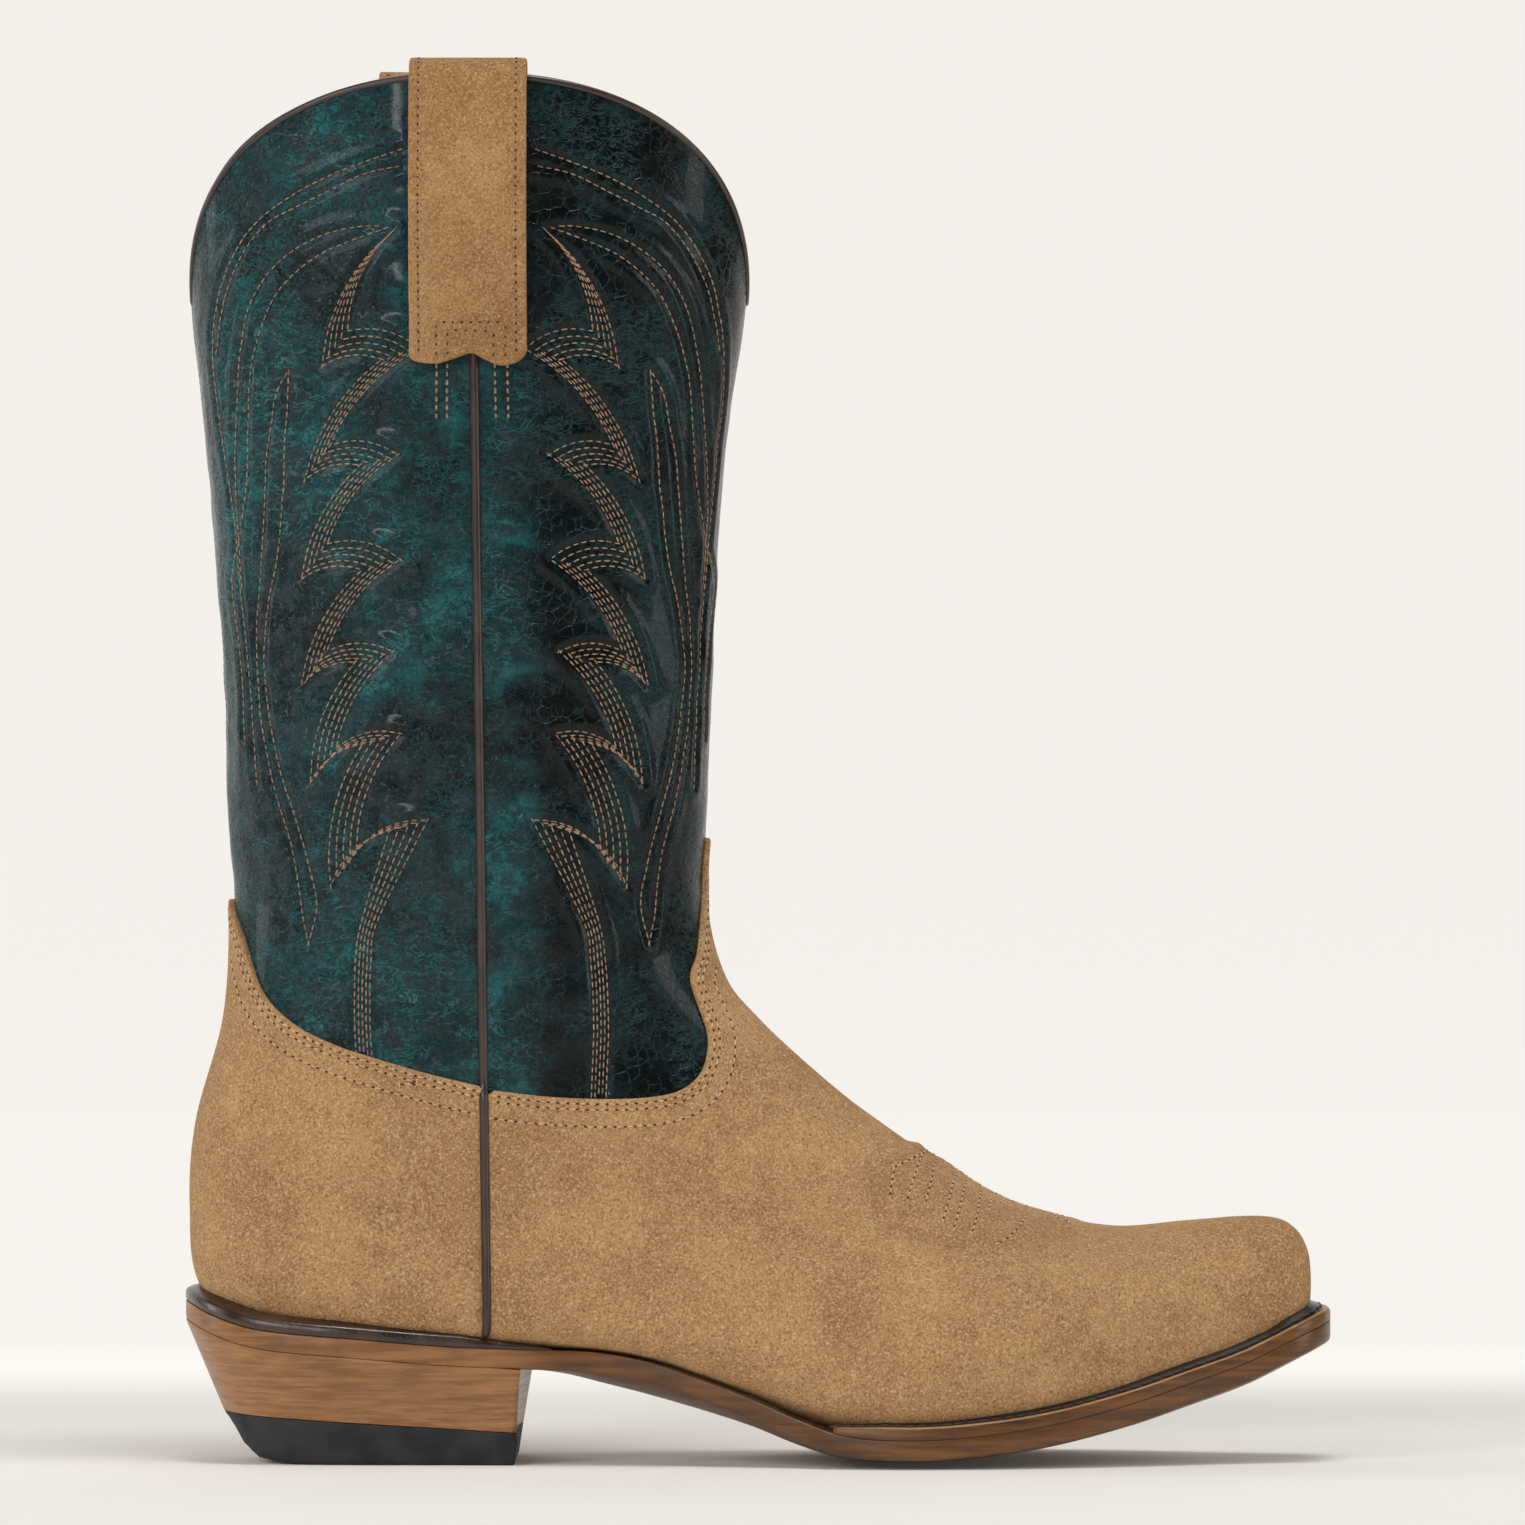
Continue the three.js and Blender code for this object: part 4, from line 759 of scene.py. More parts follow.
def stitchTree():
    # Resamples each line to the stitch pitch and lays one bowed length of thread on every point.
    if "tree" in stitchTrees:
        return stitchTrees["tree"]
    tree = bpy.data.node_groups.new("stitchRow", "GeometryNodeTree")
    face = tree.interface
    face.new_socket("Geometry", in_out="INPUT", socket_type="NodeSocketGeometry")
    for name, value in (("Pitch", .0026), ("Stitch length", .0021), ("Thread width", .0006), ("Thread rise", .0005)):
        face.new_socket(name, in_out="INPUT", socket_type="NodeSocketFloat").default_value = value
    face.new_socket("Phase", in_out="INPUT", socket_type="NodeSocketInt").default_value = 0
    face.new_socket("Seed", in_out="INPUT", socket_type="NodeSocketInt").default_value = 3
    face.new_socket("Material", in_out="INPUT", socket_type="NodeSocketMaterial")
    face.new_socket("Geometry", in_out="OUTPUT", socket_type="NodeSocketGeometry")
    given = addNode(tree, "NodeGroupInput").outputs
    curve = addNode(tree, "GeometryNodeMeshToCurve", {"Mesh": given["Geometry"]})
    half = maths(tree, "MULTIPLY", given["Pitch"], .5)
    even = addNode(tree, "GeometryNodeResampleCurve", {"Curve": curve.outputs[0], "Length": half}, mode="LENGTH")
    step = addNode(tree, "GeometryNodeSplineParameter").outputs["Index"]
    chosen = addNode(tree, "ShaderNodeMath", {0: maths(tree, "MODULO", step, 2.0), 1: given["Phase"], 2: .1},
                     operation="COMPARE")  # every other point: a stitch, or the hole between two stitches
    tangent = addNode(tree, "GeometryNodeInputTangent")
    upward = addNode(tree, "GeometryNodeInputNamedAttribute", {"Name": "upward"}, data_type="FLOAT_VECTOR")
    along = addNode(tree, "FunctionNodeAlignRotationToVector", {"Vector": tangent.outputs[0]}, axis="X")
    turned = addNode(tree, "FunctionNodeAlignRotationToVector",
                     {"Rotation": along.outputs[0], "Vector": upward.outputs[0]}, axis="Z", pivot_axis="X")
    shape = addNode(tree, "GeometryNodeMeshUVSphere", {"Segments": 6, "Rings": 5, "Radius": .5})
    lengths = addNode(tree, "ShaderNodeCombineXYZ", {0: given["Stitch length"], 1: given["Thread width"],
                                                     2: given["Thread rise"]})
    vary = addNode(tree, "FunctionNodeRandomValue", {2: .9, 3: 1.08, "Seed": given["Seed"]}, data_type="FLOAT")
    sized = addNode(tree, "ShaderNodeVectorMath", {0: lengths.outputs[0], 3: vary.outputs[1]}, operation="SCALE")
    spread = addNode(tree, "GeometryNodeInstanceOnPoints", {
        "Points": even.outputs[0], "Selection": chosen.outputs[0], "Instance": shape.outputs[0],
        "Rotation": turned.outputs[0], "Scale": sized.outputs[0]})
    real = addNode(tree, "GeometryNodeRealizeInstances", {"Geometry": spread.outputs[0]})
    dyed = addNode(tree, "GeometryNodeSetMaterial", {"Geometry": real.outputs[0], "Material": given["Material"]})
    addNode(tree, "NodeGroupOutput", {"Geometry": dyed.outputs[0]})
    stitchTrees["tree"] = tree
    return tree


def sewRows(name, rows, look, pitch=2.6, length=2.1, width=.62, rise=.5, phase=0, seed=3):
    # rows: pairs of points and outward directions, in millimetres
    points = np.vstack([p for p, _ in rows])
    upward = np.vstack([n for _, n in rows])
    edges, first = [], 0
    for p, _ in rows:
        edges += [(first + i, first + i + 1) for i in range(len(p) - 1)]
        first += len(p)
    mesh = bpy.data.meshes.new(name)
    mesh.from_pydata(toFrame(points).tolist(), edges, [])
    mesh.attributes.new("upward", "FLOAT_VECTOR", "POINT").data.foreach_set("vector", upward.astype(np.float32).ravel())
    piece = bpy.data.objects.new(name, mesh)
    bpy.context.scene.collection.objects.link(piece)
    tree = stitchTree()
    sewing = piece.modifiers.new("sewing", "NODES")
    sewing.node_group = tree
    ids = {item.name: item.identifier for item in tree.interface.items_tree if item.in_out == "INPUT"}
    sizes = {"Pitch": pitch * .001, "Stitch length": length * .001, "Thread width": width * .001,
             "Thread rise": rise * .001, "Phase": phase, "Seed": seed, "Material": materials[look]}
    for key, value in sizes.items():
        sewing[ids[key]] = value
    done = piece.evaluated_get(bpy.context.evaluated_depsgraph_get())
    made = bpy.data.meshes.new_from_object(done)
    made.name = name
    piece.modifiers.clear()
    piece.data = made
    made.polygons.foreach_set("use_smooth", [True] * len(made.polygons))
    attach(piece, "root")
    return piece


# shaft

shaftLook = {"step": 1.25, "outer": .35, "inner": -1.4, "quiltDepth": .5, "quiltWidth": 1.0, "puff": .5,
             "crease": .7}


def topKeys(s, drop=0):  # how far down the rings the scalloped top line lies, at each distance round
    u = np.linspace(0, keyOf(3.2), 500)
    grid = onSurface(np.asarray(s)[:, None], u[None, :])
    ring = ringAt(u)
    share = (grid[..., 0] - ring[:, 0]) / (ring[:, 2] - ring[:, 0])
    q = np.clip(np.abs(share - .5) * 2, 0, 1)
    over = grid[..., 2] - (316 + 63.5 * np.minimum((1 - q**2.2 + .0005) ** .4, 1) - drop)
    found = []
    for row in over:
        j = np.nonzero((row[:-1] > 0) & (row[1:] <= 0))[0]
        j = j[0] if len(j) else 0
        found.append(u[j] + (u[j + 1] - u[j]) * row[j] / max(row[j] - row[j + 1], 1e-9))
    return np.array(found)


def wrinkles(points, amount):  # soft creases, strongest behind and above the ankle
    result = np.empty(len(points))
    for i, (x, y, z) in enumerate(points):
        wide = noise.noise(Vector((x * .02, y * .03, z * .022)))
        upright = noise.noise(Vector((x * .09, y * .12, z * .018)))
        level = noise.noise(Vector((x * .03, y * .03, z * .11 + 7)))
        behind = min(max((-x - 95) / 50, 0), 1)
        low = 1 if z < 250 else max(.3, 1 - (z - 250) / 110)
        result[i] = amount * (.5 * wide + behind * low * (1.3 * upright + .5 * level) + .35 * (1 - behind) * level)
    return result


def shaftRelief(lines3d):
    samples = np.vstack(lines3d)

    def relief(points, gap):
        away = nearest(points, samples)
        quilt = -shaftLook["quiltDepth"] * np.exp(-(away / shaftLook["quiltWidth"]) ** 2)
        puff = shaftLook["puff"] * np.exp(-((away - 2.3) / 1.3) ** 2)
        return quilt + puff + wrinkles(points, shaftLook["crease"])
    return relief


def shaftPanels():
    for name, lay, lines in (("shaft_front", frontLay, stitchesFront), ("shaft_back", backLay, stitchesBack)):
        front = name == "shaft_front"
        bottom = keyOf(10.7 if front else 9.75)
        if front:
            ends = lambda u, outside: seamRound(u, outside) - .15
        else:
            ends = lambda u, outside: halfGirth(u, outside) - seamRound(u, outside) - .15
        width = ends(np.array([0.0]), True)[0]
        s = np.linspace(-ends(np.array([keyOf(1)]), False)[0], ends(np.array([keyOf(1)]), True)[0], 160)
        topU = topKeys(s if front else fromBack(s, np.full(len(s), keyOf(1.2))), .9)
        startOut, startIn = topU[-1], topU[0]
        downOut = np.linspace(startOut, bottom, 120)
        downIn = np.linspace(bottom, startIn, 120)
        outline = np.vstack([
            np.column_stack([s[1:-1], topU[1:-1]]),
            np.column_stack([ends(downOut, True), downOut]),
            np.column_stack([-ends(downIn, False), downIn])])
        lined, linedFaces, _ = sheetMesh(outline, lay, 3.2, -1.7, -2.7, rounding=0, loopStep=2.4)
        addPiece("shaftLiningFront" if front else "shaftLiningBack", lined, linedFaces[::-1], "lining",
                 ("shaft_lining_front" if front else "shaft_lining_back",))
        lines3d = [offSurface(l[:, 0], l[:, 1], np.zeros(len(l)))[0] for l in lines]
        points, faces, marks = sheetMesh(outline, lay, shaftLook["step"], shaftLook["outer"], shaftLook["inner"],
                                         rounding=0, relief=shaftRelief(lines3d), loopStep=1.6)
        keepSurface(name, points, faces)
        addPiece("shaftPanelFront" if front else "shaftPanelBack", points, faces, "glazed",
                 (name,), marks)
        print(name, len(faces), "faces")


shaftPanels()


def sewShaft():
    for name, lines in (("shaftStitchingFront", stitchesFront), ("shaftStitchingBack", stitchesBack)):
        rows = []
        for count, line in enumerate(lines):
            line = line[count % 4:]  # neighbouring rows start a little later, so that their stitches do not line up
            points, normals = offSurface(line[:, 0], line[:, 1], np.zeros(len(line)))
            rows.append((restOn("shaft_front" if name.endswith("Front") else "shaft_back", points, normals, .1), normals))
        sewRows(name, rows, "thread", pitch=2.3, length=1.95, width=.43, rise=.4)


sewShaft()
print("shaft made")

# suede vamp and heel cover

suedeShape = {"step": 1.3, "outer": 1.9, "inner": -.5, "round": .9}
vampLine = [
    (-73, 102.4), (-60, 100.8), (-46, 100), (-34, 100.1), (-25.5, 101.2), (-20.6, 103.3), (-17, 107), (-15.3, 112.5),
    (-15.5, 118), (-17.5, 124), (-19.6, 130.2), (-19.9, 133.8), (-18.3, 139), (-17.5, 147), (-16.8, 157), (-16, 165),
    (-15.4, 170.5)]
counterLine = [
    (-77, 103.6), (-90, 106.7), (-104, 110.7), (-115, 114.2), (-125.6, 119), (-132.6, 124.6), (-137.2, 131.2),
    (-139.8, 138), (-142, 144.4), (-144.2, 150), (-145, 153.8)]


# rows of stitching over the instep and the toe: near half only, from low on the side up to the top
wrinkleRows = [
    [(34.4, 71), (35, 75.7), (35.6, 79)], [(39, 70), (40.1, 74), (41.3, 78), (42.4, 82)],
    [(43.8, 69.2), (44.9, 73.5), (45.8, 78.4), (46.3, 82)], [(48.6, 64.6), (49.8, 69), (50.9, 73.4), (51.6, 77)],
    [(51.6, 62.4), (52.8, 67), (53.8, 71), (54.6, 75.2)], [(56.6, 61.4), (58.1, 66.8), (58.7, 71.5), (59.2, 75.4)]]
toeRows = [
    [(61.2, 67.6), (61.8, 70.2), (63.6, 72.4), (66, 72.6)], [(63.9, 69), (66.4, 70.2), (68.8, 70.7), (72, 70.4)],
    [(63.6, 58.9), (66.9, 60.6), (69.9, 63.4), (72.6, 66.6), (75.5, 68)],
    [(72, 70.4), (76.5, 67.6), (80.5, 64.6), (84, 63.4)], [(75.5, 68), (80, 66.2), (84, 63.4)]]
suedeQuilt = {"groove": .7, "width": .9, "puff": 1.5}


def acrossTheTop(rows, joined):  # each row goes over the foot to the same place on the inside
    lines = []
    for row in rows:
        near = fromSideView(curveThrough(row, .8), True)
        far = near * (-1, 1)
        if joined:
            top = np.array([[0, near[-1, 1] - .4]])
            lines.append(curveThrough(np.vstack([near[::3], near[-1:], top, far[-1:], far[::3][::-1]]), .7))
        else:
            lines += [near, far]
    return lines


vampDecor = acrossTheTop(wrinkleRows, True) + acrossTheTop(toeRows, False)


def layLine(line, lift=0.0, back=False):
    s = fromBack(line[:, 0], line[:, 1]) if back else line[:, 0]
    return offSurface(s, line[:, 1], np.full(len(line), float(lift)))


decorPoints = np.vstack([layLine(line)[0] for line in vampDecor])


def vampRelief(points):
    away = nearest(points, decorPoints)
    groove = -suedeQuilt["groove"] * np.exp(-(away / suedeQuilt["width"]) ** 2)
    fade = np.clip((7 - away) / 4, 0, 1)
    puff = suedeQuilt["puff"] * (1 - np.exp(-(away / 1.7) ** 2)) * fade * fade * (3 - 2 * fade)
    toe = np.clip((64 - points[:, 0]) / 10, .35, 1)
    return groove + puff * toe


def insetOn(place, line, distance, towards, steps=6):
    # a line moved evenly over the leather, to the side where "towards" lies
    line = curveThrough(line[::3], .7)
    start = place(line)
    moved = line.copy()
    sign = 0
    for _ in range(steps):
        p = place(moved)
        across = (place(moved + (.2, 0)) - p) / .2
        down = (place(moved + (0, .2)) - p) / .2
        run = np.gradient(p, axis=0)
        run /= np.maximum(np.linalg.norm(run, axis=1, keepdims=True), 1e-9)
        side = np.cross(np.cross(across, down), run)
        side /= np.linalg.norm(side, axis=1, keepdims=True)
        if sign == 0:
            third = len(p) // 3
            sign = 1 if np.dot(side[third], place(np.array([towards]))[0] - p[third]) > 0 else -1
        side = side * sign * distance / steps
        aa, ad, dd = (across * across).sum(1), (across * down).sum(1), (down * down).sum(1)
        sa, sd = (side * across).sum(1), (side * down).sum(1)
        det = np.maximum(aa * dd - ad * ad, 1e-9)
        moved = moved + np.column_stack([(sa * dd - sd * ad) / det, (sd * aa - sa * ad) / det])
    keep = nearest(place(moved), start) > distance * .86
    return moved[keep]


suedeRows = {"vamp": [], "heel": []}
onFront = lambda q: onSurface(q[:, 0], q[:, 1])
onBack = lambda q: onSurface(fromBack(q[:, 0], q[:, 1]), q[:, 1])


def edgeRows(name, place, edge):
    for distance in (1.4, 3.0, 7.6):
        line = insetOn(place, edge, distance, (edge[0, 0], edge[0, 1] + 60))
        line = line[np.abs(line[:, 0]) > (2.2 if distance < 5 else 8)]
        if len(line) > 5:
            suedeRows[name].append(line)


def edgeRelief(name, points):
    samples = np.vstack([layLine(line, 0, name == "heel")[0] for line in suedeRows[name]])
    return -.4 * np.exp(-(nearest(points, samples) / .75) ** 2)


def marginRound(u, outside):  # distance round to where the upper is turned in under the foot
    ring = ringAt(u)
    wide = ring[..., 4 if outside else 5]
    turnedIn = np.clip((ringKeys[-3] - u) / 12, 0, 1) * np.maximum(wide - 12, 1.5)
    return halfGirth(u, outside) - turnedIn


def vampPiece():
    edges = {}
    for outside in (True, False):
        line = curveThrough(vampLine, .8)
        if not outside:
            line = line + np.column_stack([np.interp(line[:, 0], (-73, -30), (-8.7, 0)), np.zeros(len(line))])
        edges[outside] = fromSideView(line, outside)
    out, inn = edges[True], edges[False]
    keysSeam = np.linspace(out[0, 1], seamEndKey - .5, 60)
    seamOut = np.column_stack([seamRound(keysSeam, True) - .15, keysSeam])
    seamOut = seamOut[seamOut[:, 0] < marginRound(keysSeam, True)]
    keysIn = np.linspace(inn[0, 1], seamEndKey - .5, 60)
    seamIn = np.column_stack([-(seamRound(keysIn, False) - .15), keysIn])
    seamIn = seamIn[-seamIn[:, 0] < marginRound(keysIn, False)]
    low = np.linspace(seamOut[-1, 1] + 1, ringKeys[-1] - .05, 150)
    marginOut = np.column_stack([marginRound(low, True), low])
    lowIn = np.linspace(ringKeys[-1] - .05, seamIn[-1, 1] + 1, 150)
    marginIn = np.column_stack([-marginRound(lowIn, False), lowIn])
    tip = np.array([[0, out[-1, 1] - .6]])
    outline = np.vstack([out[::-1], seamOut[1:], marginOut[:-1], marginIn[1:], seamIn[::-1][:-1], inn, tip])
    cut = [np.vstack([out[::-1]]), inn, np.vstack([inn[-1], tip[0], out[-1]])]
    for outside in (True, False):
        edgeRows("vamp", onFront, edges[outside])
    relief = lambda points, gap: vampRelief(points) + edgeRelief("vamp", points)
    points, faces, marks = sheetMesh(outline, frontLay, suedeShape["step"], suedeShape["outer"], suedeShape["inner"],
                                     suedeShape["round"], cut, relief, loopStep=1.1, sewn=vampDecor + suedeRows["vamp"])
    keepSurface("vamp", points, faces)
    addPiece("vampSuede", points, faces, "suede", ("vamp",), marks)
    print("vamp", len(faces), "faces")
    return edges


def heelPiece():
    edges = {}
    for outside in (True, False):
        line = curveThrough(counterLine, .8)
        if not outside:
            line = line + np.column_stack([np.interp(line[:, 0], (-120, -77), (0, -8.7)), np.zeros(len(line))])
        placed = fromSideView(line, outside)
        r = halfGirth(placed[:, 1], outside) - np.abs(placed[:, 0])
        edges[outside] = np.column_stack([r if outside else -r, placed[:, 1]])
    out, inn = edges[True], edges[False]
    backRound = lambda u, outside: halfGirth(u, outside) - seamRound(u, outside) - .15
    marginBack = lambda u, outside: halfGirth(u, outside) - marginRound(u, outside)
    bottomKey = keyOf(11.8)
    rows = {}
    for outside, line in ((True, out), (False, inn)):
        keys = np.linspace(line[0, 1], seamEndKey - .5, 60)
        seam = np.column_stack([backRound(keys, outside), keys])
        seam = seam[seam[:, 0] > marginBack(keys, outside) + .3]
        low = np.linspace(seam[-1, 1], bottomKey, 60)
        fold = np.column_stack([marginBack(low, outside) * np.clip((low - bottomKey) / 10, 0, 1) ** .5, low])
        sign = 1 if outside else -1
        seam[:, 0] *= sign
        fold[:, 0] *= sign
        rows[outside] = (seam, fold)
    tip = np.array([[0, out[-1, 1] - .4]])
    outline = np.vstack([out[::-1], rows[True][0][1:], rows[True][1][1:-1], rows[False][1][::-1][:-1],
                         rows[False][0][::-1][:-1], inn, tip])
    cut = [out[::-1], inn, np.vstack([inn[-1], tip[0], out[-1]])]
    for outside in (True, False):
        edgeRows("heel", onBack, edges[outside])
    relief = lambda points, gap: edgeRelief("heel", points)
    points, faces, marks = sheetMesh(outline, backLay, suedeShape["step"], suedeShape["outer"], suedeShape["inner"],
                                     suedeShape["round"], cut, relief, loopStep=1.1, sewn=suedeRows["heel"])
    keepSurface("heel", points, faces)
    addPiece("heelCoverSuede", points, faces, "suede", ("heel_cover",), marks)
    print("heel cover", len(faces), "faces")
    return edges


vampEdges = vampPiece()
counterEdges = heelPiece()


def sewSuede():
    for name, lines in (("vamp", suedeRows["vamp"] + vampDecor), ("heel", suedeRows["heel"])):
        rows, gaps = [], []
        for line in lines:
            points, normals = layLine(line, 0.0, name == "heel")
            rows.append((restOn(name, points, normals, .04), normals))
        sewRows(name + "Stitching", rows, "suedeThread", pitch=2.7, length=1.85, width=.55, rise=.5)
        # dark ellipsoids between the stitches: painted shade of the needle holes
        sewRows(name + "NeedleHoleShades", rows, "hole", pitch=2.7, length=.95, width=.62, rise=.28, phase=1)


sewSuede()
print("suede sewn")

# piping down the side seams, and the bound top edge

trimShape = {"width": 2.6, "proud": 1.5, "bindingDepth": 6, "bindingThickness": .9}


def sweepMesh(columns):
    # columns: rows of one closed section each, capped at both ends
    count, n = len(columns), len(columns[0])
    points = np.vstack(columns + [[columns[0].mean(0)], [columns[-1].mean(0)]])
    faces = [(i * n + j, i * n + (j + 1) % n, (i + 1) * n + (j + 1) % n, (i + 1) * n + j)
             for i in range(count - 1) for j in range(n)]
    faces += [((j + 1) % n, j, count * n) for j in range(n)]
    faces += [((count - 1) * n + j, (count - 1) * n + (j + 1) % n, count * n + 1) for j in range(n)]
    return points, faces


def pipingPieces():
    section = [(-1.3, -1.2), (-1.3, .35), (-1.18, .85), (-.85, 1.25), (-.45, 1.45), (0, 1.5), (.45, 1.45), (.85, 1.25),
               (1.18, .85), (1.3, .35), (1.3, -1.2)]
    for outside, name in ((True, "outer_piping"), (False, "inner_piping")):
        sign = 1 if outside else -1
        middle = float(seamRound(np.array([keyOf(1)]), outside)[0])
        start = topKeys(np.array([sign * middle]), 6.2)[0]
        end = seamEndKey - 1.2
        columns = []
        for u in np.arange(start, end, 1.0):
            centre = float(seamRound(u, outside))
            point = onSurface(np.array([sign * centre]), np.array([u]))[0]
            on = np.clip((104.5 - point[2]) / 4, 0, 1)
            lift = np.array([d + (1.5 * on * on * (3 - 2 * on) if d > 0 else 0) for _, d in section])
            if point[2] < soleHeight(point[0]) + soleCrown(point[0]) + 5:
                break
            s = sign * (centre + np.array([a for a, _ in section]))
            columns.append(offSurface(s, np.full(len(s), u), lift)[0])
        points, faces = sweepMesh(columns)
        addPiece(name.replace("_p", "P"), points, faces, "trim", (name,))


def bindingPieces():
    section = [(1.9, .02), (1.85, .5), (1.6, .85), (1.2, 1.02), (.75, 1.0), (.35, .8), (.08, .4), (0, -.1),
               (-.1, -.9), (-.1, -1.9), (0, -2.9), (.25, -3.45), (.8, -3.8), (1.6, -3.9), (4.5, -3.9), (5.7, -3.75), (6, -3.4),
               (6, -2.8), (1.3, -2.75), (1.0, -2.4), (1.0, -.3), (1.2, -.02)]
    for name, front in (("top_binding_front", True), ("top_binding_back", False)):
        top = np.array([keyOf(1)])
        if front:
            s = np.linspace(-seamRound(top, False)[0] + .1, seamRound(top, True)[0] - .1, 260)
        else:
            out = halfGirth(top, True)[0] - seamRound(top, True)[0] - .1
            inn = halfGirth(top, False)[0] - seamRound(top, False)[0] - .1
            s = fromBack(np.linspace(-inn, out, 260), np.full(260, keyOf(1)))
        # keeps the columns square to the scalloped edge
        keys = topKeys(s, 0)
        columns = []
        place = onSurface(s, keys)
        run = np.gradient(place, axis=0)
        run /= np.linalg.norm(run, axis=1, keepdims=True)
        _, normals = offSurface(s, keys, np.zeros(len(s)))
        down = np.cross(run, normals)
        down /= np.linalg.norm(down, axis=1, keepdims=True)
        down[down[:, 2] > 0] *= -1
        for p, d, n in zip(place, down, normals):
            columns.append(np.array([p + d * a + n * b for a, b in section]))
        points, faces = sweepMesh(columns)
        addPiece("topBindingFront" if front else "topBindingBack", points, faces, "trim", (name,))


def sewTopEdge():
    rows = []
    for outside in (True, False):
        s = np.linspace(2, halfGirth(keyOf(1.2), outside) - 2, 300) * (1 if outside else -1)
        keys = topKeys(s, 0)
        place, normals = offSurface(s, keys, np.zeros(len(s)))
        run = np.gradient(place, axis=0)
        run /= np.linalg.norm(run, axis=1, keepdims=True)
        down = np.cross(run, normals)
        down[down[:, 2] > 0] *= -1
        rows.append((place + down * 3.2 + normals * .1, normals))
    sewRows("topEdgeStitching", rows, "darkThread", pitch=2.5, length=2.0, width=.55, rise=.45)


pipingPieces()
bindingPieces()
sewTopEdge()
print("trim made")

# pull straps

strapShape = {"width": 32, "thickness": 1.6, "backing": .9, "rise": 3.6, "bow": 7.5, "xOuter": -80, "xInner": -90.5}


def strapPath():
    outside, inside, lowOut = 40.8, 34.2, 40.1
    top, bow = 380.3, strapShape["bow"]
    return curveThrough([(lowOut, 301), (lowOut + .3, 313), (outside + bow * .55, 322), (outside + bow, 341),
                         (outside + bow * .9, 358), (outside + bow * .5, 373.5), (outside - .4, top - .5),
                         (inside + 2.8, top), (inside + .3, 380.5), (inside - .5, 374.5), (inside - .5, 363.5),
                         (inside - .5, 330), (inside - 1.2, 284)], 1.1)


def sideDrop(x):
    share = np.abs(x + 80.25) / 77.25
    return 39 * (1 - (1 - share**2.3) ** (1 / 2.3))


def strapLay(side, middle, path, tangents):
    arc = np.concatenate([[0], np.cumsum(np.linalg.norm(np.diff(path, axis=0), axis=1))])

    def lay(flat, lift):  # flat: millimetres across the strap and along it from its outer end
        a, along = flat[:, 0], flat[:, 1]
        y = np.interp(along, arc, path[:, 0])
        z = np.interp(along, arc, path[:, 1]) + np.minimum(along, 0)
        ty = np.interp(along, arc, tangents[:, 0])
        tz = np.interp(along, arc, tangents[:, 1])
        x = middle + a
        d = np.asarray(lift, float)
        points = np.stack([x, side * (y + tz * d - sideDrop(x)), z - ty * d], -1)
        return points, np.stack([np.zeros_like(a), side * tz, -ty], -1)
    return lay, arc[-1]


def strapOutline(width, length, seam):
    half = width / 2
    low = [(-half, 4), (-half, 1.6), (-half + .6, .3), (-half + 2.2, -.5), (seam - 9.6, -1), (seam - 6, .1),
           (seam - 3, 1.1), (seam - 1.4, 1.7), (seam + .4, 1.7), (seam + 1.8, .9), (seam + 3.4, 0), (seam + 7.5, -1.5),
           (half - 3, -.7), (half - 1, .7), (half, 2.4), (half, 5)]
    high = [(half, length - 3), (half - .8, length - .8), (half - 3, length), (-half + 3, length), (-half + .8, length - .8),
            (-half, length - 3)]
    return np.vstack([curveThrough(low, .8), high])


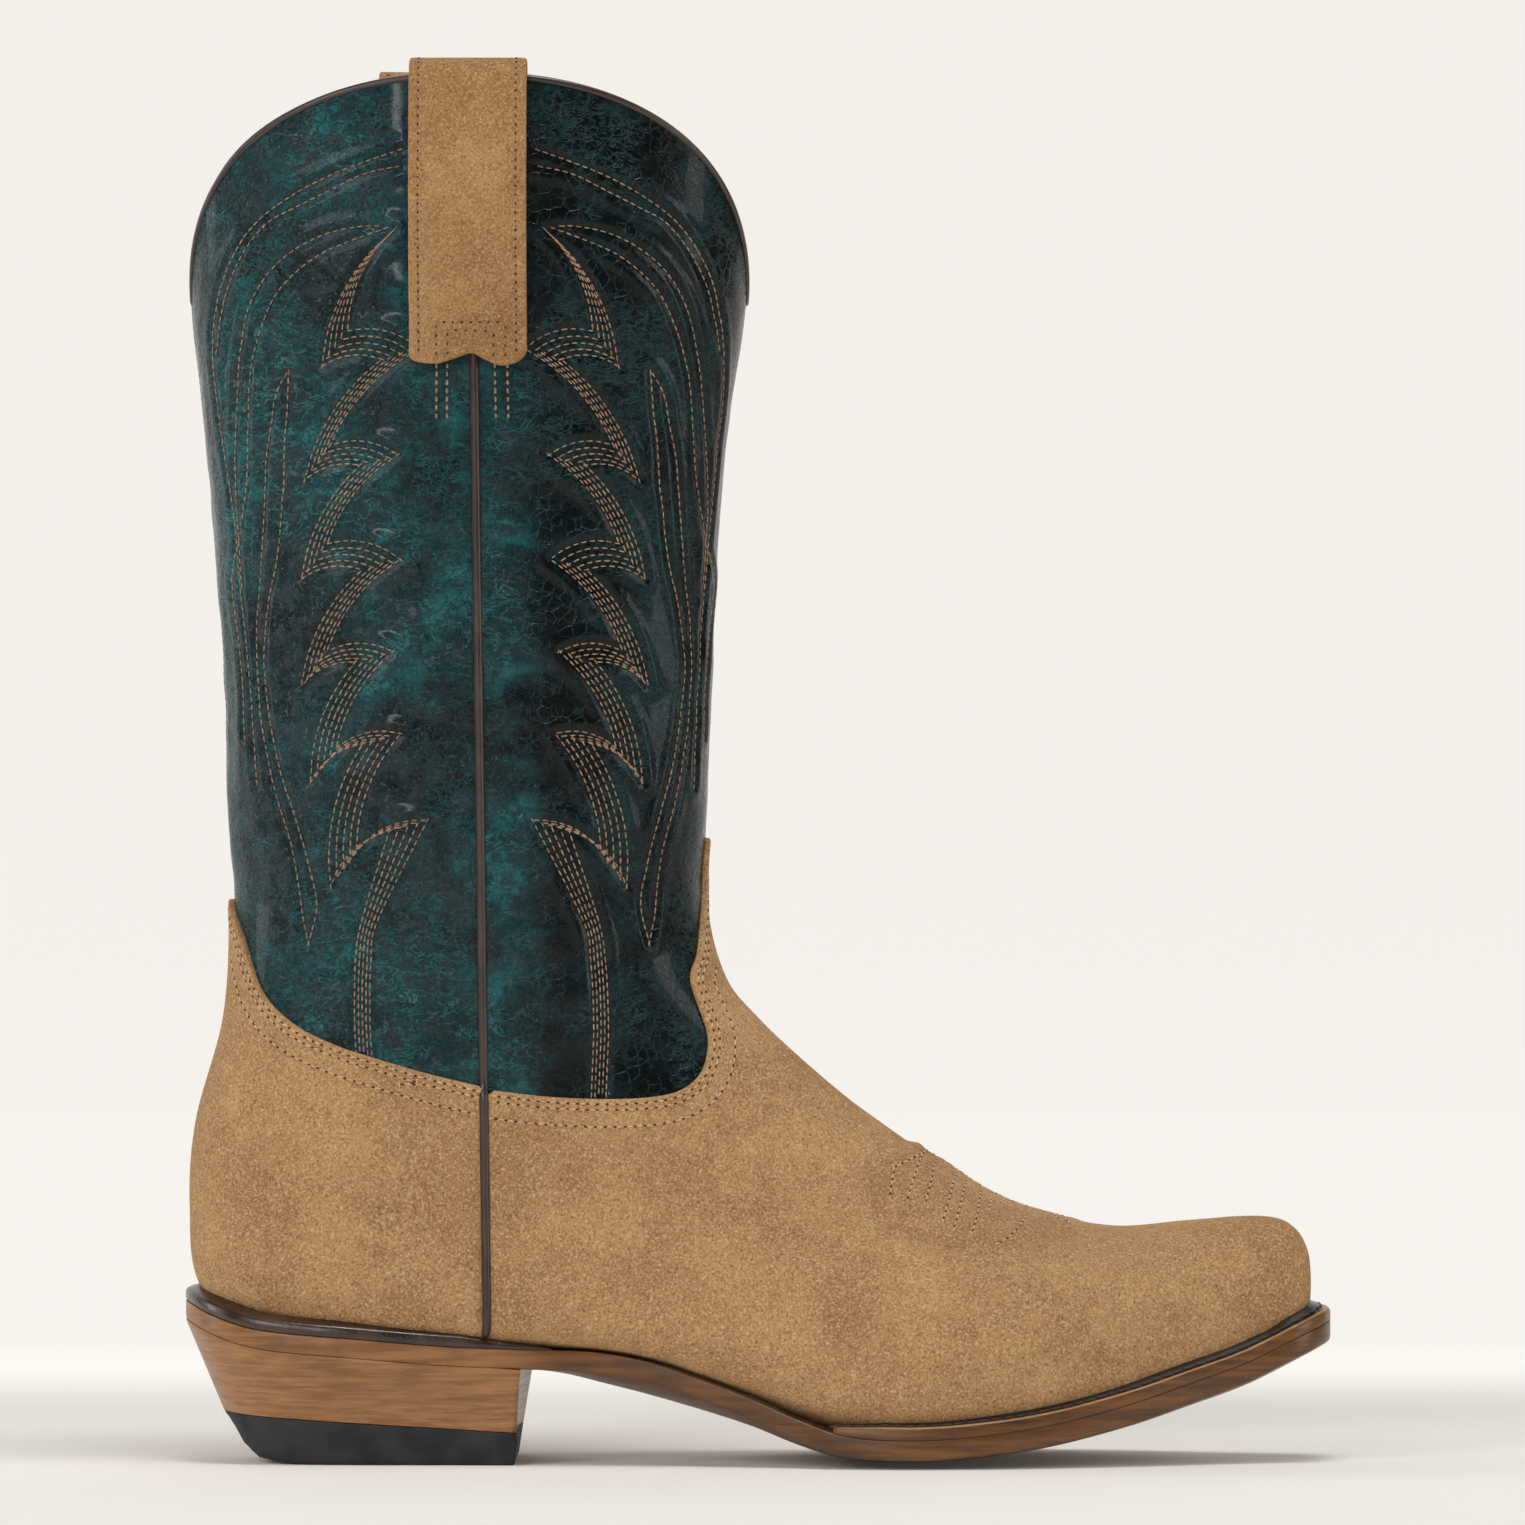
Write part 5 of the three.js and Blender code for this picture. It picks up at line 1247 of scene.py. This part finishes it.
def strapPieces():
    path = strapPath()
    tangents = np.gradient(path, axis=0)
    tangents /= np.linalg.norm(tangents, axis=1, keepdims=True)
    rows, columns = [], []
    for side, word in ((-1, "outer"), (1, "inner")):
        middle = strapShape["xOuter"] if side < 0 else strapShape["xInner"]
        seam = 1.3 if side < 0 else 2.2
        lay, length = strapLay(side, middle, path, tangents)
        top = strapShape["backing"] + .3 + strapShape["thickness"]
        outline = strapOutline(strapShape["width"], length, seam)
        points, faces, marks = sheetMesh(outline, lay, 1.2, top, strapShape["backing"] + .3, .8, loopStep=1.0)
        addPiece(word + "PullStrap", points, faces, "strapSuede", (f"{word}_pull_strap",), marks)
        half = (strapShape["width"] - 5) / 2
        under = np.array([(-half, 2), (half, 2), (half, length - 1), (-half, length - 1)])
        points, faces, marks = sheetMesh(under, lay, 2.2, strapShape["backing"], 0, .3)
        addPiece(word + "StrapBacking", points, faces, "lining", (f"{word}_strap_backing",), marks)
        sewn = []
        for a in (-strapShape["width"] / 2 + 2.6, strapShape["width"] / 2 - 2.9):
            sewn.append(np.array([(a, 1.5), (a, length - 2)]))
        for left, right, high in ((-8.6, 10.2, 10.6), (-5.5, 7, 8.2)):
            sewn.append(np.array([(left, 0.6), (left, high)]))
            sewn.append(np.array([(left + .9, high), (right - .9, high - (.4 if high < 9 else 0))]))
            sewn.append(np.array([(right, high - .2), (right, .2)]))
        for line in sewn:
            line = curveThrough(line, .7)
            rows.append(lay(line, np.full(len(line), top + .03)))
        for a in (-8.6, -5.7, 7.2, 10.6):
            x = middle + a
            line = curveThrough([(x, 299.6), (x + (.3 if a > 0 else -.1), 284.8)], .6)
            drawn = fromSideView(line, side < 0)
            placed, normals = offSurface(drawn[:, 0], drawn[:, 1], np.zeros(len(drawn)))
            columns.append((restOn("shaft_front" if a > 0 else "shaft_back", placed, normals, .12), normals))
    sewRows("strapStitching", rows, "strapThread", pitch=2.4, length=1.5, width=.5, rise=.4)
    # dark ellipsoids between the stitches: painted shade of the needle holes
    sewRows("strapNeedleHoleShades", rows, "hole", pitch=2.4, length=.9, width=.62, rise=.28, phase=1)
    sewRows("strapFootStitching", columns, "thread", pitch=2.2, length=1.7, width=.75, rise=.6)


strapPieces()
print("straps made")

# outsole, welt, rand and stacked heel

soleShape = {"outsole": 5.4, "gap": .3, "welt": 3.4, "weltLip": 2.2, "weltStart": 18.5, "rand": 3.0, "randLip": 1.6,
             "randEnd": -56}


def soleOutline(per=12):
    outer = [(x, -w) for x, w, _ in planRows]
    inner = [(x, w) for x, _, w in planRows][::-1]
    p = np.array([(-152.5, 0)] + outer + [(146.7, -8.5), (147.5, 1.5), (146.7, 11.5)] + inner, float)
    n = len(p)
    spots, runs = [], []
    for i in range(n):
        a, b, c, d = p[i - 1], p[i], p[(i + 1) % n], p[(i + 2) % n]
        ab, bc, cd = (np.linalg.norm(v) ** .5 for v in (b - a, c - b, d - c))
        start = ((b - a) / ab - (c - a) / (ab + bc) + (c - b) / bc) * bc
        end = ((c - b) / bc - (d - b) / (bc + cd) + (d - c) / cd) * bc
        for t in np.arange(per) / per:
            spots.append((2 * t**3 - 3 * t**2 + 1) * b + (t**3 - 2 * t**2 + t) * start
                         + (3 * t**2 - 2 * t**3) * c + (t**3 - t**2) * end)
            runs.append((6 * t**2 - 6 * t) * b + (3 * t**2 - 4 * t + 1) * start + (6 * t - 6 * t**2) * c
                        + (3 * t**2 - 2 * t) * end)
    spots, runs = np.array(spots), np.array(runs)
    runs /= np.linalg.norm(runs, axis=1, keepdims=True)
    out = np.column_stack([runs[:, 1], -runs[:, 0]])
    edge = soleEdge(spots[:, 0])[:, 0]
    return spots + out * edge[:, None], out, edge


soleLine, soleOut, soleReach = soleOutline()


def crownAt(p):
    widths = planWidths(p[:, 0])
    middle = (widths[:, 1] - widths[:, 0]) / 2
    half = (widths[:, 1] + widths[:, 0]) / 2 + soleEdge(p[:, 0])[:, 0]
    return soleCrown(p[:, 0]) * np.minimum(((p[:, 1] - middle) / half) ** 2, 1)


soleBottom = lambda p: soleHeight(p[:, 0]) + crownAt(p)
soleTop = lambda p: soleBottom(p) + soleShape["outsole"]


def plateMesh(outline, out, profile, low, high, step=3.2):
    # a plate between two curved faces; profile: how far in and how high up each ring of its edge lies
    loops = [outline - out * inset for inset, _ in profile]
    rings = [np.column_stack([loop, low(loop) + share * (high(loop) - low(loop))])
             for loop, (_, share) in zip(loops, profile)]
    n = len(outline)
    points = [np.vstack(rings)]
    faces = [(k * n + j, k * n + (j + 1) % n, (k + 1) * n + (j + 1) % n, (k + 1) * n + j)
             for k in range(len(rings) - 1) for j in range(n)]
    looks = [0] * len(faces)
    first = len(points[0])
    for end, (loop, level, turned) in enumerate(((loops[0], low, True), (loops[-1], high, False))):
        box = [np.arange(loop[:, k].min(), loop[:, k].max(), step) for k in (0, 1)]
        grid = np.array([(x, y) for x in box[0] for y in box[1]])
        grid = grid[nearest(flat3(grid), flat3(loop)) > step * .5]
        flat, fill, rim = fillOutline(loop, grid)
        points.append(np.column_stack([flat, level(flat)]))
        base = 0 if end == 0 else (len(rings) - 1) * n
        back = {place: base + i for i, place in enumerate(rim)}
        ids = [back.get(i, first + i) for i in range(len(flat))]
        faces += [tuple(ids[i] for i in (f[::-1] if turned else f)) for f in fill]
        looks += [1 + end] * len(fill)
        first += len(flat)
    return np.vstack(points), faces, looks


def bandMesh(outline, profile, closed):
    # an edge strip: each profile step gives the inset line and its height for every point of the outline
    rings = [np.column_stack([line, level]) for line, level in profile]
    n, count = len(outline), len(rings)
    points = np.vstack(rings)
    last = n if closed else n - 1
    faces = [(k * n + j, k * n + (j + 1) % n, ((k + 1) % count) * n + (j + 1) % n, ((k + 1) % count) * n + j)
             for k in range(count) for j in range(last)]
    looks = [k for k in range(count) for _ in range(last)]
    if not closed:
        faces += [tuple(k * n for k in range(count)), tuple(k * n + n - 1 for k in range(count))[::-1]]
        looks += [count, count]
    return points, faces, looks


def dropLoose(points, faces):
    used = sorted({i for f in faces for i in f})
    place = {old: new for new, old in enumerate(used)}
    return points[used], [tuple(place[i] for i in f) for f in faces]


def outsolePiece():
    profile = [(1.1, 0), (.45, .03), (.12, .12), (0, .26), (.0, .5), (.0, .9), (.05, .975), (.2, 1.0)]
    points, faces, looks = plateMesh(soleLine, soleOut, profile, soleBottom, soleTop)
    points, faces = dropLoose(points, faces)
    addPiece("outsoleBend", points, faces, ["sole", "sole", "sole"], ("outsole",), None, looks)


def stripAround(keep, closed=False):
    start = int(np.nonzero(keep & ~np.roll(keep, 1))[0][0])
    order = (start + np.arange(keep.sum())) % len(keep)
    return soleLine[order], soleOut[order], soleReach[order]


def weltPiece():
    line, out, reach = stripAround(soleLine[:, 0] > soleShape["weltStart"])
    ease = np.clip((line[:, 0] - soleShape["weltStart"]) / 14, 0, 1) ** .5
    base = soleTop(line) + .05
    lip = soleShape["weltLip"] * (.4 + .6 * line[:, 0] / 147.5)
    steps = [(reach + .6, 0), (.2, .0), (.04, .03), (0, .15), (.02, .7), (.3, .95), (1.0, 1.06), (1.3, 1.0), (2.0, 1.0)]
    profile = [(line - out * (np.broadcast_to(inset, len(line)))[:, None],
                base + share * soleShape["welt"] * (.25 + .75 * ease)) for inset, share in steps]
    top = base + soleShape["welt"] * (.25 + .75 * ease)
    profile.append((line - out * np.minimum(3.2, reach - .9)[:, None], top + lip * .45 * ease))
    profile.append((line - out * (reach - 1.2)[:, None], top + lip * ease))
    profile.append((line - out * (reach + .6)[:, None], top + lip * ease))
    points, faces, looks = bandMesh(line, profile, False)
    colours = {0: 0, 1: 0, 2: 0, 3: 0, 4: 0, 5: 2, 6: 2, 7: 1, 8: 1, 9: 1, 10: 1, 11: 1, 12: 0}
    addPiece("stormWelt", points, faces, ["sole", "welt", "bevel"], ("welt",), None,
             [colours.get(k, 0) for k in looks])
    seat = [line - out * np.minimum(2.6, reach - 1.4)[:, None], top + lip * .2 * ease + .12]
    rows = [(np.column_stack(seat), np.tile((0, 0, 1.0), (len(line), 1)))]
    sewRows("weltStitching", rows, "darkThread", pitch=3.4, length=3.1, width=.95, rise=.8)


def randPiece():
    keep = soleLine[:, 0] < soleShape["randEnd"]
    line, out, reach = stripAround(keep)
    fade = np.clip((soleShape["randEnd"] - line[:, 0]) / 26, .1, 1)
    base = soleTop(line) + .05
    tall = soleShape["rand"] * fade
    steps = [(reach + .6, 0), (.3, 0), (.0, .15), (-.12, .45), (0, .8), (.35, 1.02), (.9, 1.12)]
    profile = [(line - out * (np.broadcast_to(inset, len(line)))[:, None], base + share * tall) for inset, share in steps]
    profile.append((line - out * np.minimum(2.2, reach * .6)[:, None], base + tall + soleShape["randLip"] * .55 * fade))
    profile.append((line - out * (reach - .8)[:, None], base + tall + soleShape["randLip"] * 1.05 * fade))
    profile.append((line - out * (reach + .6)[:, None], base + tall + soleShape["randLip"] * fade))
    points, faces, looks = bandMesh(line, profile, False)
    addPiece("heelSeatRand", points, faces, "rand", ("heel_rand",))


heelShape = {"taperSide": .22, "taperBack": .42, "breast": (-64.5, -67.5), "capBack": 13.8, "capBreast": 9,
             "hollow": 1.6, "lifts": 4}


def heelRing(share, cap=False, inset=0.0):
    # one level of the heel, from the near corner of its front face round the back to the far corner
    middle = np.array([-96.0, 0])
    away = soleLine - middle
    away /= np.linalg.norm(away, axis=1, keepdims=True)
    taper = heelShape["taperSide"] + (heelShape["taperBack"] - heelShape["taperSide"]) * np.maximum(-away[:, 0], 0) ** 2
    capTop = lambda x: heelShape["capBack"] + (heelShape["capBreast"] - heelShape["capBack"]) * (x + 147) / 79.5
    level = lambda x: share * capTop(x) if cap else capTop(x) + share * (soleHeight(x) + .15 - capTop(x))
    points = soleLine.copy()
    for _ in range(4):
        z = level(points[:, 0])
        points = soleLine - away * (taper * (soleHeight(soleLine[:, 0]) - z) + inset)[:, None]
    if cap:
        back = np.interp(z, (0, 1.4, 5, 11, 14), (-128, -137, -141.5, -145, -148)) + inset
        over = np.maximum(back - points[:, 0], 0)
        points[:, 0] += over * over / (over + .8)
    z = level(points[:, 0])
    breast = heelShape["breast"][1] + (heelShape["breast"][0] - heelShape["breast"][1]) * z / 26.2
    inside = points[:, 0] < breast
    order = (int(np.nonzero(inside & ~np.roll(inside, 1))[0][0]) + np.arange(inside.sum())) % len(points)
    arc = points[order]
    arcSteps = np.concatenate([[0], np.cumsum(np.linalg.norm(np.diff(arc, axis=0), axis=1))])
    arc = np.stack([np.interp(np.linspace(0, arcSteps[-1], 170), arcSteps, arc[:, k]) for k in (0, 1)], 1)
    zc = level(np.array([-67.0]))[0]
    front = heelShape["breast"][1] + (heelShape["breast"][0] - heelShape["breast"][1]) * zc / 26.2 - inset
    ends = np.linspace(arc[-1, 1], arc[0, 1], 32)
    half = abs(ends[0])
    face = np.column_stack([front + .045 * ends * np.clip(zc / 26, 0, 1)
                            - heelShape["hollow"] * (1 - (ends / half) ** 2) * np.clip(zc / 26, 0, 1) ** .5, ends])
    line = np.vstack([arc, face[1:-1]])
    return np.column_stack([line, level(line[:, 0])])


def capsOn(rings):
    n, count = len(rings[0]), len(rings)
    points = np.vstack(rings)
    faces = [(k * n + j, k * n + (j + 1) % n, (k + 1) * n + (j + 1) % n, (k + 1) * n + j)
             for k in range(count - 1) for j in range(n)]
    for base, ring, turned in ((0, rings[0], True), ((count - 1) * n, rings[-1], False)):
        flat, fill, rim = fillOutline(ring[:, :2], np.zeros((0, 2)))
        back = {place: base + i for i, place in enumerate(rim)}
        faces += [tuple(back[i] for i in (f[::-1] if turned else f)) for f in fill]
    return points, faces


def heelPieces():
    shares = [0]
    lifts = heelShape["lifts"]
    insets = [.12]
    for k in range(lifts):
        low, high = k / lifts, (k + 1) / lifts
        for part in (.03, .25, .5, .75, .97):
            shares.append(low + (high - low) * part)
            insets.append(0)
        shares.append(high)
        insets.append(.1 if k < lifts - 1 else .12)
    rings = [heelRing(s, False, i) for s, i in zip(shares, insets)]
    points, faces = capsOn(rings)
    addPiece("stackedHeel", points, faces, "heel", tuple(f"heel_lift_{i + 1}" for i in range(lifts)))
    rings = [heelRing(s, True, i) for s, i in
             ((0, .7), (.02, .3), (.06, .1), (.12, 0), (.25, 0), (.4, 0), (.55, 0), (.7, 0), (.85, 0), (.96, 0), (.985, .1))]
    points, faces = capsOn(rings)
    addPiece("rubberCap", points, faces, "rubber", ("heel_cap",))


outsolePiece()
weltPiece()
randPiece()
heelPieces()
print("sole and heel made")

# floor, light and camera

studio = {"distance": 3.3, "height": .1917, "frameWidth": .4194, "floor": "#F9F6F1", "wall": "#F3EFEA", "glow": .03}


def backdrop():
    profile = [(-5, 0), (3, 0)] + [(3 + 1.4 * math.sin(a), 1.4 - 1.4 * math.cos(a))
                                   for a in np.linspace(.1, math.pi / 2, 14)] + [(4.4, 6)]
    points = [(x, y, z) for x in (-6, 6) for y, z in profile]
    n = len(profile)
    faces = [(i, i + n, i + n + 1, i + 1) for i in range(n - 1)]
    mesh = bpy.data.meshes.new("studioFloor")
    mesh.from_pydata(points, [], faces)
    material, tree, body, coords = newMaterial("matteFloorPaint", **{
        "Roughness": .85, "Specular IOR Level": .1, "Emission Color": linear(studio["wall"])})
    far = ramp(tree, addNode(tree, "ShaderNodeSeparateXYZ", {0: coords}).outputs[1], .04, .7)
    tree.links.new(blendColours(tree, far, linear(studio["floor"]), (0, 0, 0, 1)), body.inputs["Base Color"])
    tree.links.new(ramp(tree, far, 0, 1, (studio["glow"], 1.0)), body.inputs["Emission Strength"])
    mesh.materials.append(material)
    mesh.polygons.foreach_set("use_smooth", [True] * len(mesh.polygons))
    floor = bpy.data.objects.new("studioFloor", mesh)
    bpy.context.scene.collection.objects.link(floor)


def softLight(name, place, aim, size, watts, tint="#FFFFFF"):
    lamp = bpy.data.lights.new(name, "AREA")
    lamp.shape = "RECTANGLE"
    lamp.size, lamp.size_y = size
    lamp.energy = watts
    lamp.color = linear(tint)[:3]
    light = bpy.data.objects.new(name, lamp)
    light.location = place
    light.rotation_euler = (Vector(aim) - Vector(place)).to_track_quat("-Z", "Y").to_euler()
    bpy.context.scene.collection.objects.link(light)


def studioLights():
    world = bpy.data.worlds.new("studio")
    bpy.context.scene.world = world
    bpy.context.scene.view_settings.view_transform = "Standard"
    world.use_nodes = True
    world.node_tree.nodes["Background"].inputs[0].default_value = linear("#FBFAF7")
    world.node_tree.nodes["Background"].inputs[1].default_value = .1
    softLight("keySoftbox", (-1.7, -2.3, 1.5), (0, 0, .2), (1.1, 1.6), 29)
    softLight("rightStrip", (1.9, -.9, .7), (0, 0, .2), (.5, 1.6), 10)
    softLight("leftStrip", (-1.9, .2, .6), (-.1, 0, .2), (.4, 1.6), 9)
    softLight("overhead", (.15, -.35, 2.2), (0, .05, .0), (.8, .7), 19.5)
    softLight("seamStrip", (-.62, -2.7, .95), (-.08, 0, .24), (.08, 1.3), 8)


def camera():
    lens = bpy.data.cameras.new("camera")
    lens.sensor_width = 36
    lens.lens = 36 * studio["distance"] / studio["frameWidth"]
    view = bpy.data.objects.new("camera", lens)
    view.location = (frameShift[0], -studio["distance"], studio["height"])
    view.rotation_euler = (math.pi / 2, 0, 0)
    bpy.context.scene.collection.objects.link(view)
    bpy.context.scene.camera = view


backdrop()
studioLights()
camera()
print("studio made")
